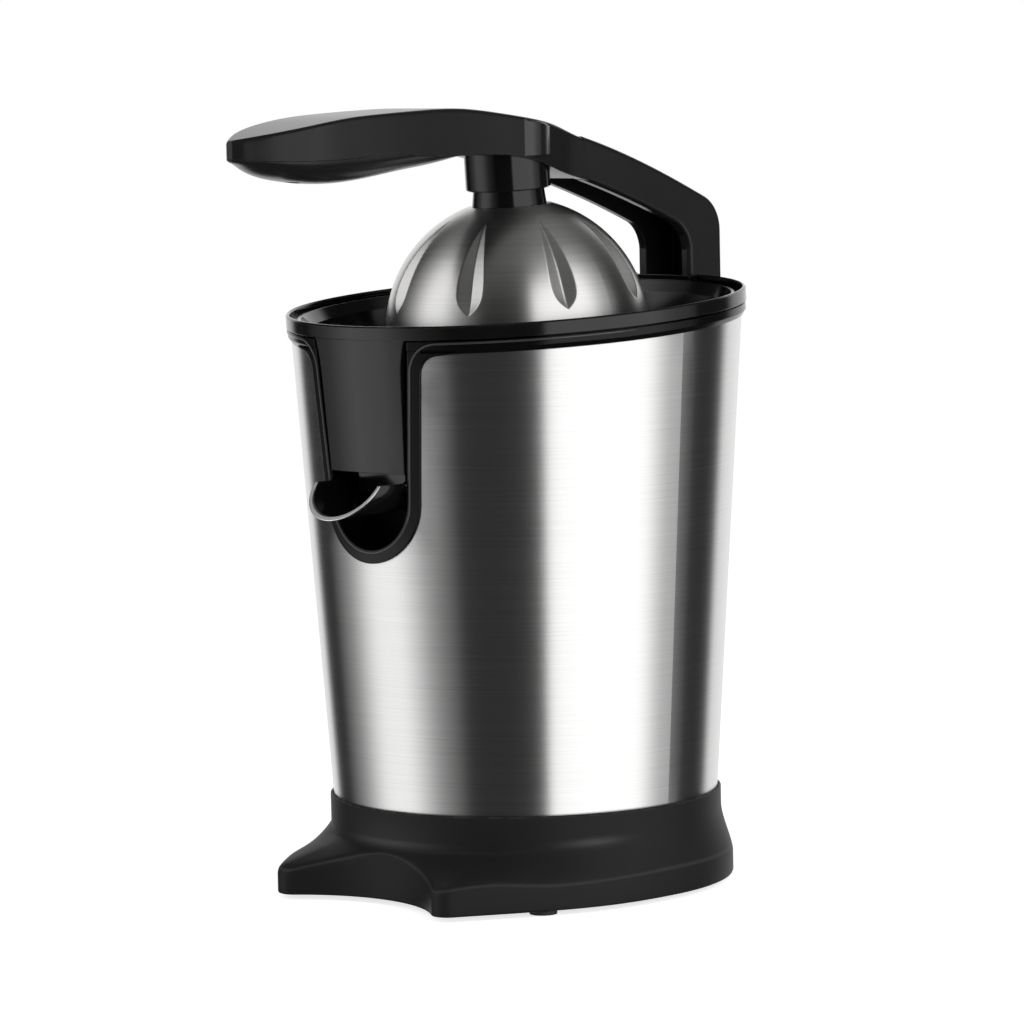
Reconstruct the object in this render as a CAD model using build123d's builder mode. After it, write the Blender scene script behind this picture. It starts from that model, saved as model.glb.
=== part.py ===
# Lever-arm electric citrus juicer. Every piece is a solid of its own, in millimetres, with +Z up.
# The spout and the handle face -Y. The origin is on the table, under the middle of the outline.
import os
from math import acos, atan2, cos, degrees, pi, radians, sin, sqrt, tan

from build123d import *

os.makedirs("parts", exist_ok=True)

# Fits between pieces
seat_gap = 0.05         # pieces that rest on or in each other
pin_gap = 0.05          # round pins that turn in their holes, on the radius
free_gap = 0.4          # other surfaces that move past each other

# Overall sizes
rim_radius = 90.0       # outside of the juice bowl
rim_height = 228.8      # rim plane above the table, at the press axis
lean = 3.5              # forward lean of the press axis, in degrees
handle_reach = 150.3    # press axis to the tip of the handle
arm_back = rim_radius + 16.0    # press axis to the back of the arm

# Base
foot_height = 2.0
foot_radius = 5.3
base_radius = rim_radius - 8.7
base_wall = 2.6
edge_round = 0.8
flare_round = 6.0
skirt_top = 12.0
flare_top = 29.0
base_top = 36.4
neck_radius = rim_radius - 13.1
flank_reach = base_radius + 5.2     # press axis to the fullest point of a front flank
flank_turn = 34.5       # direction of that point, in degrees forward of the side
nose_turn = 32.0        # direction that the flank faces where it meets the nose
prong_x = 41.5          # centres of the round noses of the two prongs beside the glass
prong_y = rim_radius + 1.5
nose_radius = 4.0
bite_y = rim_radius - 11.0      # deepest point of the bite that takes the glass
bite_slope = 11.5       # run of the flare past the deepest point, before the bite is cut
plate_thick = 3.2
post_ring = rim_radius - 26.0   # chassis posts and the screws under them
post_turn = 38.7
post_radius = 4.5
gland_radius = 6.0
gland_height = 16.0

# Steel sleeve
sleeve_wall = 1.0
sleeve_slope = 0.0677   # radius gained for each millimetre of height
sleeve_seat = 33.0      # shoulder in the base that the sleeve stands on
sleeve_foot_radius = rim_radius - 14.4

# Collar and front slot
groove = 0.7            # shadow gap between bowl rim and collar
rim_band = 5.2
collar_band = 4.8
collar_radius = rim_radius - 0.4
spigot_radius = rim_radius - 5.0
spigot_wall = 1.0
spigot_depth = 12.0
slot_bottom = 71.3      # centre of the slot's round end, below the rim plane
slot_radius = 20.0
slot_spread = 0.079    # half-width gained for each millimetre of height
trim_width = 5.1
trim_lap = 2.4          # part of the trim that overlaps the steel
trim_proud = 0.9
trim_round = 0.5
trim_depth = 4.0
trim_corner = 8.0

# Juice bowl, in the press frame
bowl_wall = 2.2
bowl_depth = 52.0
bowl_floor = 2.5
lip_radius = rim_radius - 4.4
lip_drop = 2.2
channel_drop = 4.0
chimney_radius = 10.5
chimney_bore = 7.5
chimney_top = -26.0
tongue_bottom = 61.4    # below the rim plane
tongue_half = 19.6
tongue_shoulder = (21.2, 24.0)  # half-width, and depth below the rim plane, where the tongue starts to widen
tongue_top_half = 23.9
tongue_thick = 2.4

# Spout
spout_half = 17.5
spout_depth = 13.0
spout_wall = 1.4
spout_top = 65.0        # below the rim plane
spout_back = rim_radius - 29.0  # this and the next four are forward of the press axis
spout_ends = rim_radius + 4.0
spout_tip = rim_radius + 15.5
spout_pivot_y = rim_radius - 10.5
spout_pivot_drop = 66.5
spout_pin = 1.2
spout_boss = 2.2
lip_width = 1.8         # bright lip, at the tip of the spout and at its two ends
lip_ends = 0.3

# Lever arm
arm_half = 14.3
arm_wall = 4.6
leg_front = rim_radius - 3.2
hub_half = 17.8
pin_radius = 3.0
pin_drop = 2.8          # hinge pin below the rim plane
handle_wall = 2.6
crest_round = 1.8

# Press dome, in the press frame
dome_radius = 51.5
dome_centre = -12.0
dome_sheet = 1.2
dome_edge = -16.0
dome_flat = 36.8
flute_count = 8
flute_line = [(26, -0.3), (40, 0.9), (54, 1.9), (66, 2.4), (73, 1.8), (78, -0.4)]  # degrees from the axis, depth
flute_spread = 2.5      # half-width of a flute for each millimetre of depth
flute_tall = 4.0
neck_low_radius = 14.6
neck_top_radius = 14.0
neck_top = 47.0
socket_radius = 16.6
socket_wall = 1.5
socket_low = 43.2
socket_top = 57.9
spindle_radius = 4.0
dome_travel = 4.0

# Strainer and reamer, in the press frame
sieve_floor = -39.0
sieve_sheet = 1.0
sieve_radius = 59.0
sieve_bore = 15.5
sieve_top = -21.0
reamer_tip = 16.0
reamer_base = -22.5
reamer_radius = 34.0
reamer_ridges = 8
shaft_radius = 5.0
hex_across = 8.0
press_travel = 2.5

# Drive, in the press frame
module = 1.5
pressure = 25.0
backlash = 0.16
output_teeth = 38
small_teeth = 10
large_teeth = 32
motor_x = 13.0
deck_thick = 3.0
motor_radius = 31.0
motor_length = 58.0

# Frames: the body stands upright, the press leans forward
axis_y = (handle_reach - arm_back) / 2
lean_sin = sin(radians(lean))
lean_cos = cos(radians(lean))
body = Plane(origin=(0, axis_y, 0))
press = Plane(origin=(0, axis_y, rim_height), x_dir=(1, 0, 0), z_dir=(0, -lean_sin, lean_cos))
side = Plane(origin=(0, axis_y, rim_height), x_dir=(0, 1, 0), z_dir=(1, 0, 0))
front = Plane(origin=(0, axis_y, rim_height), x_dir=(1, 0, 0), z_dir=(0, -1, 0))
far = 150.0             # reach of cutting tools, past the outside of the part


def keep(name, part):
    part.label = name
    export_step(part, "parts/" + name + ".step")


def turned(frame, points):
    # a solid turned about the frame's axis from (radius, height) points
    with BuildPart() as solid:
        with BuildSketch(Plane(frame.origin, x_dir=frame.x_dir, z_dir=-frame.y_dir)):
            with BuildLine():
                Polyline(*points, close=True)
            make_face()
        revolve(axis=Axis(frame.origin, frame.z_dir))
    return solid.part


def tube(frame, outer, inner, low, high):
    return turned(frame, [(inner, low), (outer, low), (outer, high), (inner, high)])


def rod(frame, radius, low, high, spots=((0, 0),)):
    with BuildPart() as solid:
        with BuildSketch(frame.offset(low)):
            with Locations(*spots):
                Circle(radius)
        extrude(amount=high - low)
    return solid.part


def slab(frame, x_low, x_high, y_low, y_high, low, high):
    with BuildPart() as solid:
        with BuildSketch(frame.offset(low)):
            with Locations(((x_low + x_high) / 2, (y_low + y_high) / 2)):
                Rectangle(x_high - x_low, y_high - y_low)
        extrude(amount=high - low)
    return solid.part


def sleeve_radius(height):
    return sleeve_foot_radius + (height - base_top) * sleeve_slope


def sleeve_ring(inner, outer, low, high):
    # a ring that follows the sleeve's taper, between two offsets from its outside
    return turned(body, [
        (sleeve_radius(low) + inner, low),
        (sleeve_radius(low) + outer, low),
        (sleeve_radius(high) + outer, high),
        (sleeve_radius(high) + inner, high),
    ])


def press_height(forward, height):
    # height above the rim plane's centre of a point given in the press frame
    return height * lean_cos - forward * lean_sin


# Base: skirt, sloped flare and neck, with a bite at the front for the glass


def bite_radius(depth):
    # radius of an arc that crosses the middle at this depth and touches both noses from outside
    ahead = prong_y - depth
    return (prong_x ** 2 + ahead ** 2 - nose_radius ** 2) / (2 * (ahead + nose_radius))


def base_plan(inset, depth):
    # round at the back, with full flanks at the front that run to two rounded prongs
    radius = base_radius - inset
    nose = nose_radius - inset
    bite = bite_radius(depth)
    full_x = (flank_reach - inset) * cos(radians(flank_turn))
    full_y = (flank_reach - inset) * sin(radians(flank_turn))
    along_x = sin(radians(nose_turn))
    along_y = cos(radians(nose_turn))
    inward = degrees(atan2(prong_y - depth - bite, -prong_x))
    spread = degrees(atan2(prong_x, bite - prong_y + depth))
    with BuildLine() as outline:
        CenterArc((0, 0), radius, 0, 180)
        left_nose = CenterArc((-prong_x, -prong_y), nose, 180 + nose_turn, -nose_turn - inward)
        Spline((-radius, 0), (-full_x, -full_y), left_nose @ 0, tangents=[(0, -1), (along_x, -along_y)])
        CenterArc((0, -depth - bite), bite + inset, 90 + spread, -2 * spread)
        right_nose = CenterArc((prong_x, -prong_y), nose, inward, -nose_turn - inward)
        Spline(right_nose @ 1, (full_x, -full_y), (radius, 0), tangents=[(along_x, along_y), (0, 1)])
    make_face(outline.edges())


def base_form(inset, low, high):
    neck = neck_radius - inset
    neck_angles = (0, 180, 236, 246, 294, 304, 360)
    with BuildPart() as form:
        with BuildSketch(body.offset(low)):
            base_plan(inset, bite_y + bite_slope)
        extrude(amount=skirt_top - low)
        with BuildSketch(body.offset(skirt_top)):
            base_plan(inset, bite_y + bite_slope)
        with BuildSketch(body.offset(flare_top)):
            with BuildLine():
                for start, end in zip(neck_angles, neck_angles[1:]):
                    CenterArc((0, 0), neck, start, end - start)
            make_face()
        loft(ruled=True)
        with BuildSketch(body.offset(flare_top)):
            Circle(neck)
        extrude(amount=high - flare_top)
        with BuildSketch(body.offset(low)):
            with Locations((0, -bite_y - bite_radius(bite_y))):
                Circle(bite_radius(bite_y) + inset)
        extrude(amount=high - low, mode=Mode.SUBTRACT)
    return form.part


plate_top = foot_height + plate_thick
foot_front = (0.74 * base_radius, 0.67 * base_radius)
foot_rear = (0.65 * base_radius, 0.65 * base_radius)
foot_spots = [(mark * foot_front[0], -foot_front[1]) for mark in (-1, 1)]
foot_spots += [(mark * foot_rear[0], foot_rear[1]) for mark in (-1, 1)]
post_x = post_ring * cos(radians(post_turn))
post_y = post_ring * sin(radians(post_turn))
post_spots = [(-post_x, -post_y), (post_x, -post_y), (-post_x, post_y), (post_x, post_y)]
foot_stem = 2.2
screw_radius = 1.6
screw_head = 3.5
head_thick = 1.6

with BuildPart() as base:
    add(base_form(0, foot_height, base_top))
    bite_edge = base.edges().filter_by_position(Axis.Z, (skirt_top + flare_top) / 2 + 1, flare_top - 1)
    fillet(bite_edge, edge_round)
    fillet(base.edges().filter_by_position(Axis.Z, flare_top, flare_top), flare_round)
    add(base_form(base_wall, foot_height - 1, base_top + 1), mode=Mode.SUBTRACT)
    add(rod(body, sleeve_radius(base_top) + 0.15, sleeve_seat, base_top + 1), mode=Mode.SUBTRACT)
    with BuildSketch(front.offset(-far)):
        with Locations((0, gland_height - rim_height)):
            Circle(gland_radius + seat_gap)
    extrude(amount=far - 60, mode=Mode.SUBTRACT)
keep("base", base.part)

with BuildPart() as bottom_plate:
    add(base_form(base_wall + 0.2, foot_height, base_top))
    add(slab(body, -far, far, -far, far, plate_top, base_top + 1), mode=Mode.SUBTRACT)
    add(rod(body, foot_stem + seat_gap, 0, plate_top, foot_spots), mode=Mode.SUBTRACT)
    add(rod(body, screw_radius + seat_gap, 0, plate_top, post_spots), mode=Mode.SUBTRACT)
    add(rod(body, screw_head + 0.3, 0, foot_height + head_thick + 0.2, post_spots), mode=Mode.SUBTRACT)
    with BuildSketch(body):
        with GridLocations(0, 9, 1, 5):
            SlotOverall(46, 3.5)
    extrude(amount=plate_top, mode=Mode.SUBTRACT)
keep("bottom_plate", bottom_plate.part)

with BuildPart() as feet:
    add(rod(body, foot_radius, 0, foot_height, foot_spots))
    add(rod(body, foot_stem, 0, plate_top, foot_spots))
keep("feet", feet.part)

with BuildPart() as base_screws:
    head_low = foot_height + 0.2
    add(rod(body, screw_head, head_low, head_low + head_thick, post_spots))
    add(rod(body, screw_radius, head_low, plate_top + 10, post_spots))
keep("base_screws", base_screws.part)

with BuildPart() as cord_gland:
    with BuildSketch(front.offset(-base_radius - 2.2)):
        with Locations((0, gland_height - rim_height)):
            Circle(gland_radius)
            Circle(3.3, mode=Mode.SUBTRACT)
    extrude(amount=12)
keep("cord_gland", cord_gland.part)

# Steel sleeve, with the front slot, a notch for the arm's leg and holes for the bracket screws


def slot_shape(grow, mode=Mode.ADD):
    half_top = slot_radius + grow + slot_bottom * slot_spread * 1.1
    with Locations((0, -slot_bottom)):
        Circle(slot_radius + grow, mode=mode)
    Polygon(
        (-slot_radius - grow, -slot_bottom),
        (slot_radius + grow, -slot_bottom),
        (half_top, slot_bottom * 0.1),
        (-half_top, slot_bottom * 0.1),
        align=None,
        mode=mode,
    )


collar_low = -rim_band - groove - collar_band
collar_top = -rim_band - groove
leg_notch = arm_half + 1.7
pocket_y = leg_front - 0.8
bracket_screw_x = 11.6
bracket_screw_drops = (43.0, 24.0)
bracket_spots = [(x, -drop) for x in (-bracket_screw_x, bracket_screw_x) for drop in bracket_screw_drops]

with BuildPart() as housing_sleeve:
    add(sleeve_ring(-sleeve_wall, 0, sleeve_seat + seat_gap, rim_height + 20))
    add(slab(press, -far, far, -far, far, collar_low - seat_gap, far), mode=Mode.SUBTRACT)
    with BuildSketch(front):
        slot_shape(trim_width - trim_lap + 0.1)
    extrude(amount=far, mode=Mode.SUBTRACT)
    add(slab(press, -leg_notch, leg_notch, 60, far, collar_low - 10, far), mode=Mode.SUBTRACT)
    with BuildSketch(front.offset(-far)):
        with Locations(*bracket_spots):
            Circle(screw_radius + 0.4)
    extrude(amount=far - 60, mode=Mode.SUBTRACT)
keep("housing_sleeve", housing_sleeve.part)

# Collar ring with the U-shaped trim round the slot

trim_low = rim_height - slot_bottom - slot_radius - trim_width - 2
pivot_half = slot_radius + (slot_bottom - spout_pivot_drop) * slot_spread
pin_end = pivot_half + trim_width - trim_lap - 0.5
front_drop = press_height(rim_radius, collar_low)

with BuildPart() as trim_bezel:
    add(sleeve_ring(seat_gap, trim_proud, trim_low, rim_height))
    with BuildSketch(front):
        slot_shape(trim_width)
        corner_x = slot_radius + trim_width + (slot_bottom + front_drop - trim_corner) * slot_spread
        for mark in (-1, 1):
            with Locations((mark * (corner_x + trim_corner / 2 - 0.5), front_drop - trim_corner / 2)):
                Rectangle(trim_corner + 1, trim_corner)
        for mark in (-1, 1):
            with Locations((mark * (corner_x + trim_corner), front_drop - trim_corner)):
                Circle(trim_corner, mode=Mode.SUBTRACT)
        slot_shape(0, mode=Mode.SUBTRACT)
    extrude(amount=far, mode=Mode.INTERSECT)
    outer_face = trim_bezel.faces().filter_by(GeomType.CONE).sort_by(SortBy.AREA)[-1]
    fillet(outer_face.edges(), trim_round)

with BuildPart() as trim_flange:
    add(sleeve_ring(-trim_depth, seat_gap, trim_low, rim_height))
    with BuildSketch(front):
        slot_shape(trim_width - trim_lap)
    extrude(amount=far, mode=Mode.INTERSECT)

with BuildPart() as top_collar:
    add(trim_bezel.part)
    add(trim_flange.part)
    add(slab(press, -far, far, -far, far, collar_low + 1, far), mode=Mode.SUBTRACT)
    add(turned(press, [
        (spigot_radius - spigot_wall, collar_top),
        (collar_radius, collar_top),
        (collar_radius, collar_low + 2),
        (collar_radius - 1.3, collar_low),
        (spigot_radius, collar_low),
        (spigot_radius, collar_top - spigot_depth),
        (spigot_radius - spigot_wall, collar_top - spigot_depth),
    ]))
    with BuildSketch(front):
        slot_shape(0)
    extrude(amount=far, mode=Mode.SUBTRACT)
    add(slab(press, -leg_notch, leg_notch, pocket_y, far, collar_low - 1, collar_top + 1), mode=Mode.SUBTRACT)
    with BuildSketch(side.offset(-pin_end)):
        with Locations((-spout_pivot_y, -spout_pivot_drop)):
            Circle(spout_pin + pin_gap)
    extrude(amount=2 * pin_end, mode=Mode.SUBTRACT)
keep("top_collar", top_collar.part)

# Juice bowl: rim with a channel and an inner lip, floor, chimney, front tongue and drain

floor_top = -bowl_depth
floor_low = -bowl_depth - bowl_floor
wall_top = spigot_radius - spigot_wall - free_gap
wall_low = wall_top - 5.3
drain_x = 11.0
drain_front = rim_radius - 16.0
drain_back = rim_radius - 24.5
drain_wall = 1.6
drain_low = -spout_top - 5.0
rib_radius = 52.0

tongue_low = rim_height - tongue_bottom
tongue_high = rim_height + press_height(rim_radius, -rim_band) + 0.9
tongue_foot = sleeve_radius(tongue_low) + trim_proud

with BuildPart() as tongue:
    add(turned(body, [
        (rim_radius - 0.7, tongue_high),
        (tongue_foot, tongue_low - 1),
        (tongue_foot - tongue_thick, tongue_low - 1),
        (rim_radius - 0.7 - tongue_thick, tongue_high),
    ]))
    add(tube(press, rim_radius - 2, wall_top - 1, -rim_band - 2, -rim_band))
    with BuildSketch(front):
        with BuildLine():
            Line((-tongue_half, -tongue_bottom), (tongue_half, -tongue_bottom))
            edge = Line((tongue_half, -tongue_bottom), (tongue_shoulder[0], -tongue_shoulder[1]))
            TangentArc(edge @ 1, (tongue_top_half, tongue_high - rim_height), tangent=edge % 1)
            Line((tongue_top_half, tongue_high - rim_height), (-tongue_top_half, tongue_high - rim_height))
            far_edge = Line((-tongue_half, -tongue_bottom), (-tongue_shoulder[0], -tongue_shoulder[1]))
            TangentArc(far_edge @ 1, (-tongue_top_half, tongue_high - rim_height), tangent=far_edge % 1)
        make_face()
    extrude(amount=far, mode=Mode.INTERSECT)

with BuildPart() as juice_bowl:
    add(turned(press, [
        (chimney_bore, floor_low),
        (chimney_bore, chimney_top),
        (chimney_radius, chimney_top),
        (chimney_radius, floor_top),
        (wall_low - bowl_wall - 4, floor_top),
        (wall_low - bowl_wall, floor_top + 4),
        (wall_top - 1.9, -rim_band - 1.5),
        (lip_radius - 1.4, -lip_drop),
        (lip_radius, -lip_drop),
        (lip_radius, -channel_drop),
        (rim_radius - 1.6, -channel_drop),
        (rim_radius - 1.6, -0.6),
        (rim_radius - 1.1, 0),
        (rim_radius - 0.6, 0),
        (rim_radius, -0.6),
        (rim_radius, -rim_band),
        (wall_top, -rim_band),
        (wall_low, floor_top + 1),
        (wall_low - 4, floor_low),
    ]))
    add(tongue.part)
    with BuildSketch(press.offset(-rim_band)):
        Rectangle(2 * leg_notch + 3, 2 * rim_radius)
        Circle(pocket_y - 1.6, mode=Mode.SUBTRACT)
        Circle(rim_radius, mode=Mode.INTERSECT)
        with Locations((0, -rim_radius)):
            Rectangle(2 * rim_radius, 2 * rim_radius, mode=Mode.SUBTRACT)
    extrude(amount=rim_band)
    add(slab(press, -leg_notch, leg_notch, pocket_y, far, -rim_band - 1, 1), mode=Mode.SUBTRACT)
    add(slab(front, -drain_x - drain_wall, drain_x + drain_wall, drain_low,
             press_height(drain_front, floor_top) - 0.5, drain_back - drain_wall, drain_front + drain_wall))
    add(slab(front, -drain_x, drain_x, drain_low - 1, press_height(drain_front, floor_top) + 2,
             drain_back, drain_front), mode=Mode.SUBTRACT)
    add(tube(press, rib_radius, rib_radius - 2, floor_top - 0.5, sieve_floor - sieve_sheet - seat_gap))
    with BuildSketch(press.offset(floor_top)):
        with PolarLocations(rib_radius - 1, 6):
            Rectangle(6, 12)
    extrude(amount=sieve_floor - floor_top, mode=Mode.SUBTRACT)
keep("juice_bowl", juice_bowl.part)

# Spout that tips up to stop the drip: an open trough on two trunnions, with a bright lip


def trough_section(half, depth):
    with Locations((0, -spout_top)):
        Ellipse(half, depth)
        with Locations((0, depth)):
            Rectangle(2 * half + 2, 2 * depth, mode=Mode.SUBTRACT)


spout_low = spout_top + spout_depth
boss_end = pivot_half - free_gap


def ahead_of(ends, tip):
    # everything in front of a slanted plane through the trough's two ends and its tip
    slant = (tip - ends) / spout_depth
    with BuildPart() as ahead:
        with BuildSketch(side.offset(-spout_half - 5)):
            Polygon(
                (-ends + 4 * slant, -spout_top + 4),
                (-tip - 4 * slant, -spout_low - 4),
                (-tip - far, -spout_low - 4),
                (-tip - far, -spout_top + 4),
                align=None,
            )
        extrude(amount=2 * spout_half + 10)
    return ahead.part


with BuildPart() as trough:
    with BuildSketch(front.offset(spout_back)):
        trough_section(spout_half, spout_depth)
    extrude(amount=spout_tip + 5 - spout_back)
    with BuildSketch(front.offset(spout_back + spout_wall)):
        trough_section(spout_half - spout_wall, spout_depth - spout_wall)
    extrude(amount=spout_tip + 5 - spout_back, mode=Mode.SUBTRACT)

with BuildPart() as spout:
    add(trough.part)
    add(ahead_of(spout_ends - lip_ends, spout_tip - lip_width), mode=Mode.SUBTRACT)
    for mark in (-1, 1):
        for radius, reach in ((spout_boss, boss_end), (spout_pin, pin_end)):
            with BuildSketch(side.offset(mark * (spout_half - spout_wall / 2))):
                with Locations((-spout_pivot_y, -spout_pivot_drop)):
                    Circle(radius)
            extrude(amount=mark * (reach - spout_half + spout_wall / 2))
keep("spout", spout.part)

with BuildPart() as spout_lip:
    add(trough.part)
    add(ahead_of(spout_ends, spout_tip), mode=Mode.SUBTRACT)
    add(ahead_of(spout_ends - lip_ends + seat_gap, spout_tip - lip_width + seat_gap), mode=Mode.INTERSECT)
keep("spout_lip", spout_lip.part)

# Strainer basket and reamer

with BuildPart() as sieve:
    floor_under = sieve_floor - sieve_sheet
    add(turned(press, [
        (sieve_bore, floor_under),
        (sieve_radius - 1, floor_under),
        (sieve_radius, floor_under + 1),
        (sieve_radius, sieve_top - 1),
        (sieve_radius + 2, sieve_top - 1),
        (sieve_radius + 2, sieve_top),
        (sieve_radius - 1, sieve_top),
        (sieve_radius - 1, sieve_floor),
        (sieve_bore, sieve_floor),
    ]))
    with BuildSketch(press.offset(floor_under)):
        for ring, count in ((24, 16), (34, 24), (44, 30)):
            with PolarLocations(ring, count):
                Rectangle(6.5, 2.2)
    extrude(amount=sieve_sheet, mode=Mode.SUBTRACT)
keep("sieve", sieve.part)

ridge_line = [(0, reamer_tip + 1), (9, 12.5), (18, 3.5), (25.5, -7.5), (30, -17), (31.5, reamer_base - 2)]
core_line = [(4, reamer_tip - 2.5), (11, 6.5), (18, -4), (23.5, -14), (26.5, reamer_base)]
ridge_half = 2.4
skirt_bore = chimney_radius + 0.9
skirt_wall = 1.8
skirt_low = sieve_floor + 3
reamer_roof = chimney_top + press_travel + 1.5
hex_top = reamer_roof + 14
hex_gap = 0.06
across_press = Plane(press.origin, x_dir=press.x_dir, z_dir=-press.y_dir)
press_axis = Axis(press.origin, press.z_dir)

with BuildPart() as ridge:
    with BuildSketch(across_press):
        Polygon(*ridge_line, (0, reamer_base - 2), align=None)
    extrude(amount=ridge_half, both=True, taper=32)

with BuildPart() as reamer:
    add(turned(press, [
        (0, reamer_tip),
        *core_line,
        (reamer_radius - 1, reamer_base),
        (reamer_radius, reamer_base - 1),
        (reamer_radius, reamer_base - 2.5),
        (skirt_bore + skirt_wall, reamer_base - 2.5),
        (skirt_bore + skirt_wall, skirt_low),
        (skirt_bore, skirt_low),
        (skirt_bore, reamer_roof),
        (0, reamer_roof),
    ]))
    for step in range(reamer_ridges):
        add(ridge.part.rotate(press_axis, step * 360 / reamer_ridges))
    add(rod(press, skirt_bore, skirt_low - 1, reamer_roof), mode=Mode.SUBTRACT)
    with BuildSketch(press.offset(reamer_roof)):
        RegularPolygon(hex_across / 2 + hex_gap, 6, major_radius=False)
    extrude(amount=hex_top + 0.5 - reamer_roof, mode=Mode.SUBTRACT)
keep("reamer", reamer.part)

# Lever arm: one moulding from the hinge leg over the hub to the handle, hollow underneath

pin_y = (leg_front + arm_back) / 2
leg_radius = (arm_back - leg_front) / 2
pin_spot = (pin_y, -pin_drop)
arm_inside = arm_half - arm_wall
roof = 3.4
arm_join = 26.0         # from the press axis back to where the arm's sides run straight

# Tip to back: share of the reach, half-width of the handle, its top and underside, depth of the grip below it
handle_line = [
    (1.0, 1.2, 66.4, 59.6, 0.4),
    (0.993, 3.0, 66.7, 59.5, 1.0),
    (0.973, 5.5, 67.3, 59.2, 2.0),
    (0.912, 12.0, 69.0, 58.5, 6.0),
    (0.825, 17.0, 71.2, 58.2, 9.0),
    (0.69, 18.7, 73.8, 58.5, 10.5),
    (0.6, 19.0, 74.6, 59.2, 9.8),
    (0.45, 18.4, 75.4, 58.3, 7.0),
    (0.3, 17.6, 75.4, 57.4, 3.6),
]
grip_end = (0.24, 17.6, 2.2)
# Hub, to just inside the straight part: distance behind the press axis, half-width, top and underside
join_top = 62.5
join_low = 45.5
hub_line = [
    (-22, 17.7, 72.9, 57.0),
    (-4, hub_half, 70.2, 53.9),
    (7.5, 15.9, 68.0, 50.6),
    (18, 14.4, 64.7, 47.6),
    (arm_join + 2, arm_half - 0.06, join_top - 0.75, join_low - 0.4),
]
arm_stations = [(-share * handle_reach, half, top, low) for share, half, top, low, depth in handle_line] + hub_line
arm_run = [(0.41 * arm_back, 57.3), (0.575 * arm_back, 51.2)]
corner_run = 0.085 * arm_back
grip_spots = [(0, -0.546 * handle_reach), (0, -0.798 * handle_reach)]
grip_boss = 3.6
grip_boss_low = 60.5
cavity_back = -26.0


def arm_loft(stations, wider, higher, lower):
    # the handle and hub, from sections with two rounded upper corners
    with BuildPart() as form:
        for y, half, top, low in stations:
            edge = half + wider
            level = top + higher
            foot = low - lower
            corner = min(crest_round, edge * 0.6)
            with BuildSketch(front.offset(-y)):
                with BuildLine():
                    Line((edge - corner, level), (corner - edge, level))
                    CenterArc((corner - edge, level - corner), corner, 90, 90)
                    Polyline((-edge, level - corner), (-edge, foot), (edge, foot), (edge, level - corner))
                    CenterArc((edge - corner, level - corner), corner, 0, 90)
                make_face()
        loft()
    return form.part


with BuildPart() as arm_rear:
    with BuildSketch(side.offset(-arm_half)):
        with BuildLine():
            crest_line = Spline((arm_join, join_top), *arm_run, (arm_back - corner_run, 36.4))
            fall = atan2(-(crest_line % 1).Y, (crest_line % 1).X)
            corner = JernArc(crest_line @ 1, crest_line % 1, corner_run / (1 - sin(fall)), degrees(fall) - 90)
            Line(corner @ 1, (arm_back, -pin_drop))
            CenterArc(pin_spot, leg_radius, 0, -180)
            Line((leg_front, -pin_drop), (leg_front, 15.2))
            ThreePointArc((leg_front, 15.2), (leg_front - 2.6, 22.3), (leg_front - 8.8, 26.9))
            Spline((leg_front - 8.8, 26.9), (0.434 * arm_back, 39.1), (arm_join, join_low))
            Line((arm_join, join_low), (arm_join, join_top))
        make_face()
    extrude(amount=2 * arm_half)
    crest = arm_rear.faces().filter_by(lambda face: face.normal_at().Z > 0.8).sort_by(SortBy.AREA)[-1]
    fillet(crest.edges().filter_by(GeomType.LINE, reverse=True), crest_round)

with BuildPart() as arm_cavity:
    with BuildSketch(side):
        with BuildLine():
            ceiling = Spline((arm_join - 2, join_top - roof), *((y, z - roof) for y, z in arm_run),
                             (arm_back - 12, 36.8 - roof))
            ThreePointArc(ceiling @ 1, (arm_back - 5, 29.1), (arm_back - 3, 23.5))
            Polyline((arm_back - 3, 23.5), (arm_back - 3, -pin_drop), (arm_back + 5, -pin_drop),
                     (arm_back + 5, -20), (60, -20), (60, 25), (arm_join - 2, 38), ceiling @ 0)
        make_face()
    extrude(amount=arm_inside, both=True)
    with BuildSketch(side):
        with Locations(pin_spot):
            Circle(pin_radius + 0.02)
    extrude(amount=arm_half + 1, both=True)

with BuildPart() as handle_cavity:
    add(arm_loft(arm_stations[2:], -handle_wall, -handle_wall, 10))
    add(slab(body, -far, far, cavity_back, far, rim_height, rim_height + far), mode=Mode.SUBTRACT)
    with BuildSketch(body.offset(rim_height + grip_boss_low)):
        with Locations(*grip_spots):
            Circle(grip_boss)
    extrude(amount=30, mode=Mode.SUBTRACT)

nut_bore = 9.0
nut_high = socket_top + 3.3
bore_top = nut_high + dome_travel + 0.6

with BuildPart() as lever_arm:
    add(arm_loft(arm_stations, 0, 0, 0))
    add(arm_rear.part)
    add(handle_cavity.part, mode=Mode.SUBTRACT)
    add(arm_cavity.part, mode=Mode.SUBTRACT)
    add(rod(press, socket_radius + seat_gap, socket_low, socket_top + seat_gap), mode=Mode.SUBTRACT)
    add(rod(press, nut_bore, socket_top, bore_top), mode=Mode.SUBTRACT)
    add(rod(body, screw_radius + 0.02, rim_height + grip_boss_low - 1, rim_height + grip_boss_low + 8,
            grip_spots), mode=Mode.SUBTRACT)
keep("lever_arm", lever_arm.part)

# Rounded grip under the handle, screwed up into two bosses

belly_level = 59.4
grip_head_low = 53.0

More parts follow.
